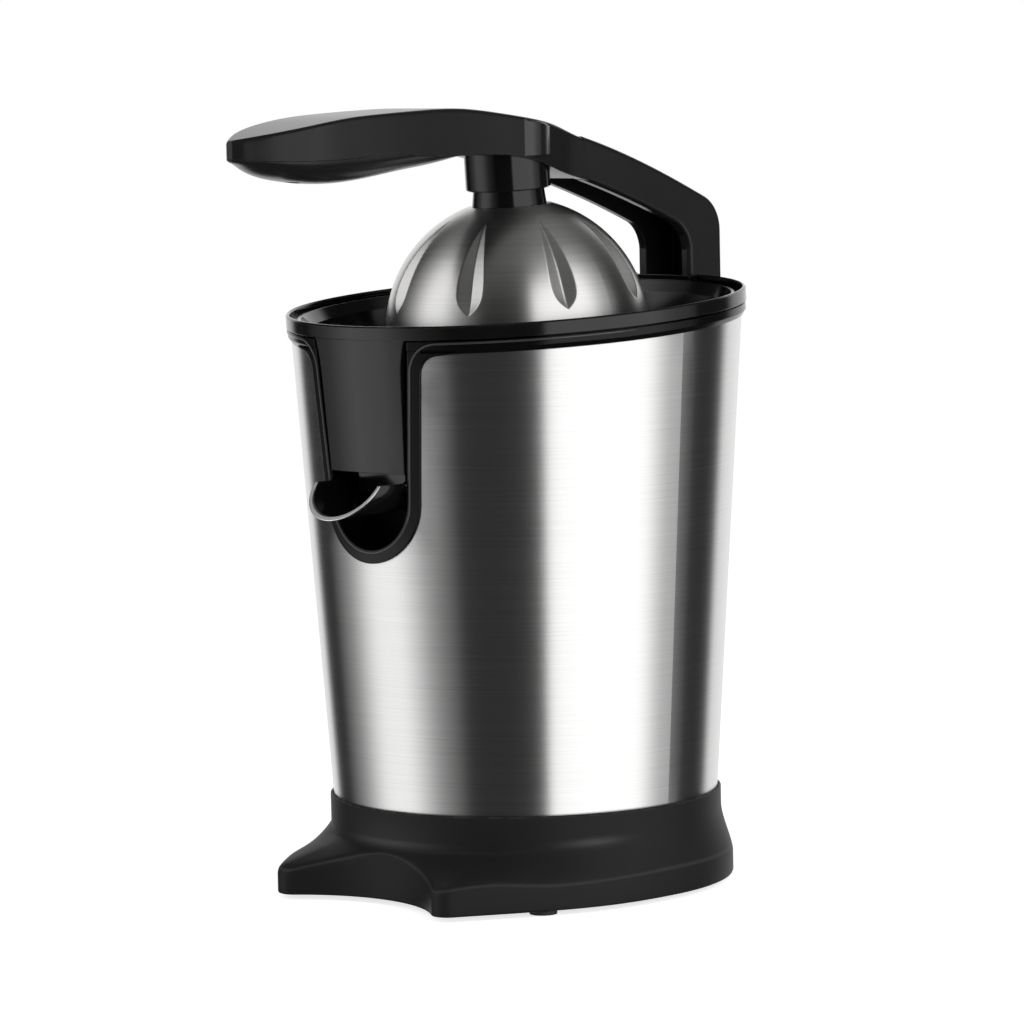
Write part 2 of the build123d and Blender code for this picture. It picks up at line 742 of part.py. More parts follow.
with BuildPart() as handle_belly:
    grip_line = [(share, half, depth) for share, half, top, low, depth in handle_line] + [grip_end]
    for share, half, depth in grip_line:
        with BuildSketch(front.offset(share * handle_reach)):
            with BuildLine():
                EllipticalCenterArc((0, belly_level), half - 0.1, depth, 180, arc_size=180)
                Line((half - 0.1, belly_level), (0.1 - half, belly_level))
            make_face()
    loft()
    add(arm_loft(arm_stations, 3, 20, seat_gap), mode=Mode.SUBTRACT)
    add(rod(body, screw_radius + seat_gap, rim_height + 40, rim_height + 70, grip_spots), mode=Mode.SUBTRACT)
    add(rod(body, screw_head + 0.2, rim_height + 40, rim_height + grip_head_low, grip_spots), mode=Mode.SUBTRACT)
keep("handle_belly", handle_belly.part)

with BuildPart() as handle_screws:
    head_high = rim_height + grip_head_low - seat_gap
    add(rod(body, screw_head, head_high - head_thick, head_high, grip_spots))
    add(rod(body, screw_radius, head_high - head_thick, rim_height + grip_boss_low + 7, grip_spots))
keep("handle_screws", handle_screws.part)

with BuildPart() as hinge_pin:
    with BuildSketch(side.offset(-arm_half + 0.3)):
        with Locations(pin_spot):
            Circle(pin_radius)
    extrude(amount=2 * arm_half - 0.6)
keep("hinge_pin", hinge_pin.part)

# Hinge bracket: a spine outside the sleeve, clamped to a plate inside it

lug_radius = 6.2
lug_half = arm_inside - free_gap
foot_half = 15.0
foot_top_drop = 17.0
foot_low_drop = 50.0
backing_gap = 0.15
spine_back = pin_y - 0.8
screw_seat = sleeve_radius(rim_height - foot_top_drop) + 0.6

with BuildPart() as hinge_bracket:
    with BuildSketch(side):
        with Locations(pin_spot):
            Circle(lug_radius)
        Polygon(
            (60, -foot_low_drop),
            (screw_seat + 1.2, -foot_low_drop),
            (spine_back, -foot_top_drop - 12),
            (spine_back, -pin_drop),
            (pin_y - lug_radius, -pin_drop),
            (leg_front + 1.2, -foot_top_drop + 3),
            (leg_front + 1.2, -foot_top_drop),
            (60, -foot_top_drop),
            align=None,
        )
    extrude(amount=lug_half, both=True)
    with BuildSketch(side):
        Polygon(
            (60, -foot_low_drop),
            (screw_seat + 0.6, -foot_low_drop),
            (screw_seat + 2.4, -foot_top_drop),
            (60, -foot_top_drop),
            align=None,
        )
    extrude(amount=foot_half, both=True)
    add(turned(body, [
        (0, base_top),
        (sleeve_radius(base_top) + seat_gap, base_top),
        (sleeve_radius(rim_height) + seat_gap, rim_height),
        (0, rim_height),
    ]), mode=Mode.SUBTRACT)
    with BuildSketch(side):
        with Locations(pin_spot):
            Circle(pin_radius + pin_gap)
    extrude(amount=lug_half, both=True, mode=Mode.SUBTRACT)
    with BuildSketch(front.offset(-far)):
        with Locations(*bracket_spots):
            Circle(screw_radius + seat_gap)
    extrude(amount=far - 60, mode=Mode.SUBTRACT)
    with BuildSketch(front.offset(-far)):
        with Locations(*bracket_spots):
            Circle(2.7)
    extrude(amount=far - screw_seat, mode=Mode.SUBTRACT)
keep("hinge_bracket", hinge_bracket.part)

with BuildPart() as hinge_backing:
    inside = -sleeve_wall - backing_gap
    add(sleeve_ring(inside - 1.8, inside, rim_height - foot_low_drop, rim_height - foot_top_drop - 3))
    with BuildSketch(front.offset(-far)):
        with Locations((0, -foot_low_drop / 2)):
            Rectangle(2 * foot_half, 2 * foot_low_drop)
    extrude(amount=far - 60, mode=Mode.INTERSECT)
    with BuildSketch(front.offset(-far)):
        with Locations(*bracket_spots):
            Circle(screw_radius + 0.02)
    extrude(amount=far - 60, mode=Mode.SUBTRACT)
keep("hinge_backing", hinge_backing.part)

with BuildPart() as bracket_screws:
    with BuildSketch(front.offset(-screw_seat - head_thick - seat_gap)):
        with Locations(*bracket_spots):
            Circle(2.5)
    extrude(amount=head_thick)
    with BuildSketch(front.offset(-screw_seat - head_thick - seat_gap)):
        with Locations(*bracket_spots):
            Circle(screw_radius)
    extrude(amount=head_thick + 5)
keep("bracket_screws", bracket_screws.part)

# Press dome: a spun steel shell with pressed flutes, hung on a sprung spindle


def flute_cutter(extra):
    # a V-section run along the bottom of one flute, which is deepest near its lower end
    spots = []
    for angle, depth in flute_line:
        reach = dome_radius - depth - extra
        spots.append((reach * sin(radians(angle)), dome_centre + reach * cos(radians(angle))))
    with BuildPart() as cutter:
        with BuildLine(across_press):
            bottom = Spline(*spots)
        with BuildSketch(Plane(bottom @ 0, x_dir=press.y_dir, z_dir=bottom % 0)):
            Polygon(
                (0, 0),
                (flute_tall * flute_spread, flute_tall),
                (-flute_tall * flute_spread, flute_tall),
                align=None,
            )
        sweep(path=bottom)
    return cutter.part


def dome_form(inset):
    wall_slant = sqrt(1 + 1 / flute_spread ** 2)
    cutter = flute_cutter(inset * wall_slant)
    with BuildPart() as form:
        with Locations(press.offset(dome_centre).location):
            Sphere(dome_radius - inset)
        for step in range(flute_count):
            turn = (step + 0.5) * 360 / flute_count + 90
            add(cutter.rotate(press_axis, turn), mode=Mode.SUBTRACT)
        add(slab(press, -far, far, -far, far, dome_flat - inset, far), mode=Mode.SUBTRACT)
    return form.part


edge_radius = sqrt(dome_radius ** 2 - (dome_edge - dome_centre) ** 2)

with BuildPart() as press_dome:
    add(dome_form(0))
    add(slab(press, -far, far, -far, far, -far, dome_edge), mode=Mode.SUBTRACT)
    add(tube(press, edge_radius + 0.9, edge_radius - dome_sheet - 0.2, dome_edge, dome_edge + 1.6))
    add(dome_form(dome_sheet), mode=Mode.SUBTRACT)
    add(rod(press, spindle_radius + seat_gap, dome_edge, far), mode=Mode.SUBTRACT)
keep("press_dome", press_dome.part)

neck_floor = dome_flat + 2.5
neck_bore = 11.0
socket_roof = socket_top - 3.4

with BuildPart() as dome_neck:
    add(turned(press, [
        (spindle_radius + seat_gap, dome_flat + seat_gap),
        (neck_low_radius, dome_flat + seat_gap),
        (neck_top_radius, dome_flat + 5.2),
        (neck_top_radius, neck_top),
        (neck_bore, neck_top),
        (neck_bore, neck_floor),
        (spindle_radius + seat_gap, neck_floor),
    ]))
keep("dome_neck", dome_neck.part)

with BuildPart() as dome_socket:
    add(turned(press, [
        (spindle_radius + pin_gap, socket_roof),
        (socket_radius - socket_wall, socket_roof),
        (socket_radius - socket_wall, socket_low),
        (socket_radius - 0.5, socket_low),
        (socket_radius, socket_low + 0.5),
        (socket_radius, socket_top),
        (spindle_radius + pin_gap, socket_top),
    ]))
keep("dome_socket", dome_socket.part)

with BuildPart() as dome_spindle:
    under = dome_flat - dome_sheet - seat_gap
    add(rod(press, 9, under - 2, under))
    add(rod(press, spindle_radius, under - 2, nut_high))
keep("dome_spindle", dome_spindle.part)

with BuildPart() as dome_nut:
    with BuildSketch(press.offset(socket_top + 0.1)):
        RegularPolygon(7, 6)
        Circle(spindle_radius + 0.02, mode=Mode.SUBTRACT)
    extrude(amount=nut_high - socket_top - 0.1)
keep("dome_nut", dome_nut.part)


def coil(frame, radius, wire, turns, low, high):
    # a helical spring between two seats
    rise = (high - low - wire - 2 * seat_gap) / turns
    foot = frame.offset(low + wire / 2 + seat_gap)
    with BuildPart() as spring:
        with BuildLine(foot):
            path = Helix(rise, rise * turns, radius)
        with BuildSketch(Plane(path @ 0, x_dir=frame.z_dir, z_dir=path % 0)):
            RegularPolygon(wire / 2, 6)
        sweep(path=path, is_frenet=True)
    return spring.part


dome_coil = 8.0
dome_wire = 1.3
keep("dome_spring", coil(press, dome_coil, dome_wire, 5, neck_floor, socket_roof))

# Chassis: a deck under the bowl on four posts, with a dark well behind the slot for the spout

deck_top = floor_low - seat_gap
deck_low = deck_top - deck_thick
deck_radius = rim_radius - 12.5
bush_radius = 8.0
bush_low = deck_low - 8
well_half = slot_radius + 2.9
well_wall = 2.0
well_low = -slot_bottom - slot_radius - 4.5
well_back = spout_back - 3
idler_x = module * (output_teeth + small_teeth) / 2
motor_reach = module * (large_teeth + small_teeth) / 2
motor_turn = acos((idler_x - motor_x) / motor_reach)
motor_v = -motor_reach * sin(motor_turn)
idler_axle_radius = 3.0
plate_spots = [(-38, 0), (20, 42), (26, -40)]

gear_top = bush_low - 1.5
gear_low = gear_top - 8
shaft_low = gear_low - 3
pad_low = shaft_low - 2
spring_low = pad_low - 10
idler_top = deck_low - 8
large_top = shaft_low - 3
large_low = large_top - 6
holder_thick = 2.0
switch_top = spring_low - holder_thick - 1
drive_plate_top = switch_top - 6
drive_plate_low = drive_plate_top - 3
can_top = drive_plate_low - seat_gap
can_low = can_top - motor_length


def press_at(x, v):
    return Plane(press.from_local_coords((x, v, 0)), x_dir=press.x_dir, z_dir=press.z_dir)


idler_frame = press_at(idler_x, 0)
motor_frame = press_at(motor_x, motor_v)

with BuildPart() as well:
    add(slab(front, -well_half - well_wall, well_half + well_wall, well_low - well_wall,
             press_height(drain_front, deck_low) + 1, well_back - well_wall, far))
    add(slab(front, -well_half, well_half, well_low, 0, well_back, far), mode=Mode.SUBTRACT)
    clear = trim_depth + 0.6
    add(turned(body, [
        (0, base_top),
        (sleeve_radius(base_top) - clear, base_top),
        (sleeve_radius(rim_height) - clear, rim_height),
        (0, rim_height),
    ]), mode=Mode.INTERSECT)

with BuildPart() as chassis:
    add(rod(press, deck_radius, deck_low, deck_top))
    add(rod(body, post_radius, plate_top + seat_gap, rim_height + deck_top, post_spots))
    add(rod(press, bush_radius + 4, bush_low, deck_low + 1))
    add(rod(idler_frame, idler_axle_radius + 3, idler_top + 1, deck_low + 1))
    add(slab(press, -far, far, -far, far, deck_top, far), mode=Mode.SUBTRACT)
    add(slab(front, -well_half, well_half, well_low, 0, well_back, far), mode=Mode.SUBTRACT)
    add(well.part)
    add(rod(press, bush_radius + seat_gap, bush_low - 1, deck_top + 1), mode=Mode.SUBTRACT)
    add(rod(idler_frame, idler_axle_radius + 0.02, idler_top, deck_low), mode=Mode.SUBTRACT)
    add(rod(body, screw_radius + 0.02, 0, plate_top + 11, post_spots), mode=Mode.SUBTRACT)
keep("chassis", chassis.part)

# Drive: shaft, gear train and motor

keep("shaft_bush", tube(press, bush_radius, shaft_radius + pin_gap, bush_low, deck_top))
keep("shaft_seal", tube(press, chimney_bore - 0.3, shaft_radius + 0.35, deck_top + seat_gap, deck_top + 5))

with BuildPart() as drive_shaft:
    add(rod(press, shaft_radius, shaft_low, chimney_top - 4))
    with BuildSketch(press.offset(chimney_top - 4)):
        RegularPolygon(hex_across / 2, 6, major_radius=False)
    extrude(amount=hex_top - chimney_top + 4)
keep("drive_shaft", drive_shaft.part)


def gear(frame, teeth, low, high, bore, phase):
    # an involute spur gear with one tooth pointing at the phase angle
    slant = radians(pressure)
    pitch = module * teeth / 2
    start = pitch * cos(slant)
    tip = pitch + 0.8 * module
    root = pitch - module
    half = pi / (2 * teeth) - backlash / (2 * pitch) + tan(slant) - slant
    flank = []
    for step in range(4):
        radius = max(start, root) + (tip - max(start, root)) * step / 3
        roll = acos(start / radius)
        flank.append((radius, half - tan(roll) + roll))
    if root < start:
        flank.insert(0, (root, flank[0][1]))
    points = []
    for tooth in range(teeth):
        middle = phase + 2 * pi * tooth / teeth
        for radius, angle in flank:
            points.append((radius * cos(middle - angle), radius * sin(middle - angle)))
        for radius, angle in reversed(flank):
            points.append((radius * cos(middle + angle), radius * sin(middle + angle)))
    with BuildPart() as wheel:
        with BuildSketch(frame.offset(low)):
            with BuildLine():
                Polyline(*points, close=True)
            make_face()
            Circle(bore, mode=Mode.SUBTRACT)
        extrude(amount=high - low)
    return wheel.part


small_step = pi / small_teeth
motor_way = pi + motor_turn
keep("output_gear", gear(press, output_teeth, gear_low, gear_top, shaft_radius + 0.02, 0))

with BuildPart() as idler_gear:
    add(gear(idler_frame, small_teeth, large_top, idler_top, idler_axle_radius + pin_gap, pi + small_step))
    add(gear(idler_frame, large_teeth, large_low, large_top, idler_axle_radius + pin_gap, motor_way))
keep("idler_gear", idler_gear.part)
keep("motor_pinion", gear(motor_frame, small_teeth, large_low - 1, large_top + 1, 3.02, motor_turn + small_step))
keep("idler_axle", rod(idler_frame, idler_axle_radius, drive_plate_low, deck_low - seat_gap))

spacer_radius = 4.0
bearing_radius = 6.0

with BuildPart() as drive_plate:
    add(rod(press, post_ring - 10, drive_plate_low, drive_plate_top))
    add(rod(idler_frame, idler_axle_radius + 0.02, drive_plate_low, drive_plate_top), mode=Mode.SUBTRACT)
    add(rod(motor_frame, bearing_radius + 0.02, drive_plate_low, drive_plate_top), mode=Mode.SUBTRACT)
keep("drive_plate", drive_plate.part)
keep("plate_spacers", rod(press, spacer_radius, drive_plate_top + seat_gap, deck_low - seat_gap, plate_spots))

keep("motor_can", tube(motor_frame, motor_radius, motor_radius - 1.4, can_low, can_top))
keep("motor_stator", tube(motor_frame, motor_radius - 1.4 - seat_gap, 20, can_low + 10, can_top - 10))

with BuildPart() as motor_cap:
    add(rod(motor_frame, motor_radius, can_low - 3, can_low - seat_gap))
    add(rod(motor_frame, bearing_radius + 0.02, can_low - 3, can_low), mode=Mode.SUBTRACT)
keep("motor_cap", motor_cap.part)

with BuildPart() as motor_bearings:
    add(tube(motor_frame, bearing_radius, 3.05, can_low - 3, can_low + 1))
    add(tube(motor_frame, bearing_radius, 3.05, drive_plate_low - 1, drive_plate_top))
keep("motor_bearings", motor_bearings.part)

with BuildPart() as motor_rotor:
    add(rod(motor_frame, 19, can_low + 12, can_top - 12))
    add(rod(motor_frame, 3, can_low - 4, large_top + 1))
keep("motor_rotor", motor_rotor.part)

# Start switch: pressing the reamer pushes the shaft, its thrust pad and the button down

keep("thrust_pad", rod(press, 9.5, pad_low, shaft_low - seat_gap))
return_coil = 7.5
return_wire = 1.1
keep("return_spring", coil(press, return_coil, return_wire, 4, spring_low, pad_low))

holder_half = 12.0
button_radius = 1.5

with BuildPart() as switch_holder:
    add(slab(press, -holder_half, holder_half, -8, 8, spring_low - holder_thick, spring_low))
    for mark in (-1, 1):
        inner, outer = sorted((mark * (holder_half - 2), mark * holder_half))
        add(slab(press, inner, outer, -8, 8, drive_plate_top + seat_gap, spring_low))
    add(rod(press, button_radius + 0.4, spring_low - holder_thick, spring_low), mode=Mode.SUBTRACT)
keep("switch_holder", switch_holder.part)

with BuildPart() as switch_body:
    add(slab(press, -9, 9, -5, 5, drive_plate_top + seat_gap, switch_top))
    add(rod(press, button_radius + 0.4, drive_plate_top + 1, switch_top), mode=Mode.SUBTRACT)
keep("switch_body", switch_body.part)
keep("switch_button", rod(press, button_radius, switch_top - 2, pad_low - seat_gap))
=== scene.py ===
import math

import bpy
from mathutils import Matrix, Vector
from mathutils.bvhtree import BVHTree


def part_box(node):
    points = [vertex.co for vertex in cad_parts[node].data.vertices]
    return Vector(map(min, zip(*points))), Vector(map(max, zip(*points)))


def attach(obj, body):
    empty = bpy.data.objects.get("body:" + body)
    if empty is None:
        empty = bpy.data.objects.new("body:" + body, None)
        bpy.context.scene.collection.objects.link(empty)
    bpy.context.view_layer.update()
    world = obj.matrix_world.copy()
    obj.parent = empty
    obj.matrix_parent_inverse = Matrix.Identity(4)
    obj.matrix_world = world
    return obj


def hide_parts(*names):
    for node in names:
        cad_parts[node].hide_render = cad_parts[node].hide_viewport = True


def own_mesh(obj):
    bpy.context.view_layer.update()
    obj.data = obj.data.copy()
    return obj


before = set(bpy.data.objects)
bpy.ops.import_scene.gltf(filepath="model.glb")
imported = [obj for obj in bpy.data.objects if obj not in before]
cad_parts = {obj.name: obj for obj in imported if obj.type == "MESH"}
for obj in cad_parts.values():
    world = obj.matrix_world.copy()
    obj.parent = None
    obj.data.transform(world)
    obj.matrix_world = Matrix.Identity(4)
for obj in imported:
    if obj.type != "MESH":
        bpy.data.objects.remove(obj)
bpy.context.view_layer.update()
print("frame loaded:", len(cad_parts), "CAD nodes")

# the drum stands upright at axisY, in metres, and the press axis leans forward by pressLean degrees
axisY = 0.02215
pressLean = 3.5
white = (1.0, 1.0, 1.0, 1.0)


# small helpers for node trees

def addNode(tree, kind, **settings):
    node = tree.nodes.new(kind)
    for key, value in settings.items():
        setattr(node, key, value)
    return node


def setInputs(node, **values):
    for key, value in values.items():
        node.inputs[key.replace("_", " ")].default_value = value


def feed(tree, socket, value):
    if isinstance(value, bpy.types.NodeSocket):
        tree.links.new(value, socket)
    else:
        socket.default_value = value


def newGroup(name, inputs, outputs):
    tree = bpy.data.node_groups.new(name, "ShaderNodeTree")
    for way, labels in (("INPUT", inputs), ("OUTPUT", outputs)):
        for label in labels:
            kind = "NodeSocketVector" if label == "Vector" else "NodeSocketFloat"
            tree.interface.new_socket(label, in_out=way, socket_type=kind)
    return tree, addNode(tree, "NodeGroupInput"), addNode(tree, "NodeGroupOutput")


def useGroup(tree, group, **values):
    node = addNode(tree, "ShaderNodeGroup", node_tree=group)
    setInputs(node, **values)
    return node


def remap(tree, source, low, high):
    node = addNode(tree, "ShaderNodeMapRange")
    feed(tree, node.inputs["Value"], source)
    feed(tree, node.inputs["To Min"], low)
    feed(tree, node.inputs["To Max"], high)
    return node.outputs["Result"]


def math2(tree, operation, first, second):
    node = addNode(tree, "ShaderNodeMath", operation=operation)
    feed(tree, node.inputs[0], first)
    feed(tree, node.inputs[1], second)
    return node.outputs["Value"]


def driftGloss(tree, given, drift, result):
    low = math2(tree, "SUBTRACT", given.outputs["Gloss"], given.outputs["Gloss Drift"])
    high = math2(tree, "ADD", given.outputs["Gloss"], given.outputs["Gloss Drift"])
    tree.links.new(remap(tree, drift, low, high), result.inputs["Roughness"])


# moulded skin: fine spark grain, a slow orange peel and a slow drift of gloss

skinNoise = {"grain": {"Detail": 2.0}, "peel": {"Detail": 1.0}, "drift": {"Scale": 28.0, "Detail": 3.0}}


def makeMouldSkin():
    tree, given, result = newGroup(
        "mouldSkin", ["Grain Scale", "Peel Scale", "Gloss", "Gloss Drift", "Peel"],
        ["Roughness", "Height", "Shade"])
    place = addNode(tree, "ShaderNodeTexCoord")
    noise = {}
    for label, settings in skinNoise.items():
        noise[label] = addNode(tree, "ShaderNodeTexNoise")
        setInputs(noise[label], **settings)
        tree.links.new(place.outputs["Object"], noise[label].inputs["Vector"])
    tree.links.new(given.outputs["Grain Scale"], noise["grain"].inputs["Scale"])
    tree.links.new(given.outputs["Peel Scale"], noise["peel"].inputs["Scale"])
    drift = noise["drift"].outputs["Fac"]
    driftGloss(tree, given, drift, result)
    peelHeight = math2(tree, "MULTIPLY", noise["peel"].outputs["Fac"], given.outputs["Peel"])
    height = math2(tree, "ADD", noise["grain"].outputs["Fac"], peelHeight)
    tree.links.new(height, result.inputs["Height"])
    tree.links.new(drift, result.inputs["Shade"])
    return tree


# brush lines: thin along the Z of the given vector, long across it

brushNoise = {"Scale": 1.0, "Detail": 4.0, "Roughness": 0.65}


def makeBrushLines():
    tree, given, result = newGroup(
        "brushLines", ["Vector", "Lines", "Streaks", "Gloss", "Gloss Drift"],
        ["Roughness", "Height", "Shade"])
    stretch = addNode(tree, "ShaderNodeCombineXYZ")
    for label, side in (("Streaks", "X"), ("Streaks", "Y"), ("Lines", "Z")):
        tree.links.new(given.outputs[label], stretch.inputs[side])
    scaled = addNode(tree, "ShaderNodeVectorMath", operation="MULTIPLY")
    tree.links.new(given.outputs["Vector"], scaled.inputs[0])
    tree.links.new(stretch.outputs["Vector"], scaled.inputs[1])
    lines = addNode(tree, "ShaderNodeTexNoise")
    setInputs(lines, **brushNoise)
    tree.links.new(scaled.outputs["Vector"], lines.inputs["Vector"])
    driftGloss(tree, given, lines.outputs["Fac"], result)
    tree.links.new(lines.outputs["Fac"], result.inputs["Height"])
    tree.links.new(lines.outputs["Fac"], result.inputs["Shade"])
    return tree


# rubbed edges: 1 where the surface turns sharply, broken up so it isn't an outline

rubLook = {
    "samples": 4, "turned": {"From_Min": 0.995, "From_Max": 0.9},
    "patches": {"Detail": 4.0}, "kept": {"From_Min": 0.42, "From_Max": 0.62}}


def makeEdgeRub():
    tree, given, result = newGroup("edgeRub", ["Radius", "Break Up"], ["Mask"])
    place = addNode(tree, "ShaderNodeTexCoord")
    around = addNode(tree, "ShaderNodeBevel", samples=rubLook["samples"])
    tree.links.new(given.outputs["Radius"], around.inputs["Radius"])
    surface = addNode(tree, "ShaderNodeNewGeometry")
    turned = addNode(tree, "ShaderNodeVectorMath", operation="DOT_PRODUCT")
    tree.links.new(around.outputs["Normal"], turned.inputs[0])
    tree.links.new(surface.outputs["Normal"], turned.inputs[1])
    edge = addNode(tree, "ShaderNodeMapRange")
    setInputs(edge, **rubLook["turned"])
    tree.links.new(turned.outputs["Value"], edge.inputs["Value"])
    patches = addNode(tree, "ShaderNodeTexNoise")
    setInputs(patches, **rubLook["patches"])
    tree.links.new(place.outputs["Object"], patches.inputs["Vector"])
    tree.links.new(given.outputs["Break Up"], patches.inputs["Scale"])
    kept = addNode(tree, "ShaderNodeMapRange")
    setInputs(kept, **rubLook["kept"])
    tree.links.new(patches.outputs["Fac"], kept.inputs["Value"])
    mask = math2(tree, "MULTIPLY", edge.outputs["Result"], kept.outputs["Result"])
    tree.links.new(mask, result.inputs["Mask"])
    return tree


mouldSkin = makeMouldSkin()
brushLines = makeBrushLines()
edgeRub = makeEdgeRub()
print("shader groups made")


# materials: the skin or the brush lines, over a normal that softens sharp edges

softSamples = 8
quarterTurn = 0.25


def newMaterial(name):
    material = bpy.data.materials.new(name)
    material.use_nodes = True
    tree = material.node_tree
    tree.nodes.clear()
    output = addNode(tree, "ShaderNodeOutputMaterial")
    surface = addNode(tree, "ShaderNodeBsdfPrincipled")
    tree.links.new(surface.outputs["BSDF"], output.inputs["Surface"])
    return material, tree, surface


def mixColours(tree, factor, first, second):
    # a Mix node takes its two colours at inputs 6 and 7 and gives their mix at output 2
    node = addNode(tree, "ShaderNodeMix", data_type="RGBA")
    tree.links.new(factor, node.inputs["Factor"])
    for socket, value in ((node.inputs[6], first), (node.inputs[7], second)):
        feed(tree, socket, value if isinstance(value, bpy.types.NodeSocket) else (*value, 1.0))
    return node.outputs[2]


def bumpFrom(tree, surface, height, look):
    bump = addNode(tree, "ShaderNodeBump")
    setInputs(bump, Strength=look["bump"], Distance=look["bumpDepth"])
    tree.links.new(height, bump.inputs["Height"])
    rounded = addNode(tree, "ShaderNodeBevel", samples=softSamples)
    setInputs(rounded, Radius=look["softEdge"])
    tree.links.new(rounded.outputs["Normal"], bump.inputs["Normal"])
    tree.links.new(bump.outputs["Normal"], surface.inputs["Normal"])


def makeMoulding(name, look):
    # the base's mesh carries an attribute of painted highlights, which counts as 0 on the others; the pale
    # colour follows the larger of it and the rubbed-edge mask: wear on rubbed edges, painted highlight along
    # the base's edges and crease
    material, tree, surface = newMaterial(name)
    skin = useGroup(
        tree, mouldSkin, Grain_Scale=look["grain"], Peel_Scale=look["peelScale"], Peel=look["peel"],
        Gloss=look["gloss"], Gloss_Drift=look["glossDrift"])
    rub = useGroup(tree, edgeRub, Radius=look["rubRadius"], Break_Up=look["rubPatches"])
    edge = addNode(tree, "ShaderNodeAttribute", attribute_name="paintedHighlight")
    wearAndHighlightMask = math2(tree, "MAXIMUM", rub.outputs["Mask"], edge.outputs["Fac"])
    body = mixColours(tree, skin.outputs["Shade"], look["deep"], look["pale"])
    tree.links.new(mixColours(tree, wearAndHighlightMask, body, look["rubbedAndHighlight"]), surface.inputs["Base Color"])
    tree.links.new(skin.outputs["Roughness"], surface.inputs["Roughness"])
    setInputs(surface, IOR=look["ior"])
    bumpFrom(tree, surface, skin.outputs["Height"], look)
    return material


def makeBrushed(name, look):
    material, tree, surface = newMaterial(name)
    place = addNode(tree, "ShaderNodeTexCoord")
    lines = useGroup(
        tree, brushLines, Lines=look["lines"], Streaks=look["streaks"],
        Gloss=look["gloss"], Gloss_Drift=look["glossDrift"])
    tree.links.new(place.outputs["Object"], lines.inputs["Vector"])
    shade = mixColours(tree, lines.outputs["Shade"], look["deep"], look["pale"])
    tree.links.new(shade, surface.inputs["Base Color"])
    tree.links.new(lines.outputs["Roughness"], surface.inputs["Roughness"])
    setInputs(surface, Metallic=1.0, Anisotropic=look["stretch"], Anisotropic_Rotation=quarterTurn)
    around = addNode(tree, "ShaderNodeTangent", direction_type="RADIAL", axis="Z")
    tree.links.new(around.outputs["Tangent"], surface.inputs["Tangent"])
    bumpFrom(tree, surface, lines.outputs["Height"], look)
    return material


def paint(material, *nodeNames):
    for nodeName in nodeNames:
        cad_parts[nodeName].material_slots[0].material = material


# finishes

glossMoulding = {
    "deep": (0.003, 0.003, 0.0032), "pale": (0.0045, 0.0045, 0.0048), "rubbedAndHighlight": (0.02, 0.02, 0.021),
    "gloss": 0.12, "glossDrift": 0.03, "grain": 2600.0, "peelScale": 240.0, "peel": 1.5,
    "bump": 0.02, "bumpDepth": 0.0002, "ior": 1.44,
    "rubRadius": 0.0005, "rubPatches": 300.0, "softEdge": 0.0004}
paint(makeMoulding("glossMoulding", glossMoulding), "juice_bowl", "dome_neck", "dome_socket", "spout")

collarMoulding = {
    "deep": (0.002, 0.002, 0.0022), "pale": (0.003, 0.003, 0.0032), "rubbedAndHighlight": (0.012, 0.012, 0.0125),
    "gloss": 0.16, "glossDrift": 0.03, "grain": 2600.0, "peelScale": 240.0, "peel": 1.0,
    "bump": 0.02, "bumpDepth": 0.0002, "ior": 1.28,
    "rubRadius": 0.0005, "rubPatches": 300.0, "softEdge": 0.0008}
collarFinish = makeMoulding("collarMoulding", collarMoulding)
paint(collarFinish, "top_collar")

armMoulding = {
    "deep": (0.009, 0.009, 0.0095), "pale": (0.012, 0.012, 0.0125), "rubbedAndHighlight": (0.03, 0.03, 0.031),
    "gloss": 0.22, "glossDrift": 0.03, "grain": 3000.0, "peelScale": 300.0, "peel": 0.4,
    "bump": 0.05, "bumpDepth": 0.0002, "ior": 1.3,
    "rubRadius": 0.0007, "rubPatches": 240.0, "softEdge": 0.0006}
paint(makeMoulding("armMoulding", armMoulding), "lever_arm", "handle_belly")

# on the base the pale edge colour is raised, so that it reads as a painted highlight along the edges as well
# as wear
baseMoulding = {
    "deep": (0.011, 0.011, 0.0115), "pale": (0.016, 0.016, 0.0165), "rubbedAndHighlight": (0.06, 0.06, 0.061),
    "gloss": 0.48, "glossDrift": 0.05, "grain": 2200.0, "peelScale": 260.0, "peel": 0.2,
    "bump": 0.12, "bumpDepth": 0.0002, "ior": 1.22,
    "rubRadius": 0.0008, "rubPatches": 220.0, "softEdge": 0.0012}
baseFinish = makeMoulding("baseMoulding", baseMoulding)
paint(baseFinish, "base", "bottom_plate", "chassis", "hinge_bracket", "cord_gland", "reamer", "switch_holder",
      "switch_body", "switch_button", "thrust_pad")

gearNylon = {
    "deep": (0.70, 0.68, 0.61), "pale": (0.76, 0.74, 0.67), "rubbedAndHighlight": (0.8, 0.79, 0.74),
    "gloss": 0.4, "glossDrift": 0.06, "grain": 1800.0, "peelScale": 300.0, "peel": 0.3,
    "bump": 0.06, "bumpDepth": 0.0002, "ior": 1.53,
    "rubRadius": 0.0004, "rubPatches": 300.0, "softEdge": 0.0003}
paint(makeMoulding("gearNylon", gearNylon), "output_gear", "idler_gear", "motor_pinion")

footRubber = {
    "deep": (0.02, 0.02, 0.02), "pale": (0.032, 0.031, 0.030), "rubbedAndHighlight": (0.07, 0.068, 0.065),
    "gloss": 0.72, "glossDrift": 0.06, "grain": 1500.0, "peelScale": 200.0, "peel": 0.3,
    "bump": 0.25, "bumpDepth": 0.0003, "ior": 1.5,
    "rubRadius": 0.0006, "rubPatches": 260.0, "softEdge": 0.0006}
paint(makeMoulding("footRubber", footRubber), "feet", "shaft_seal")

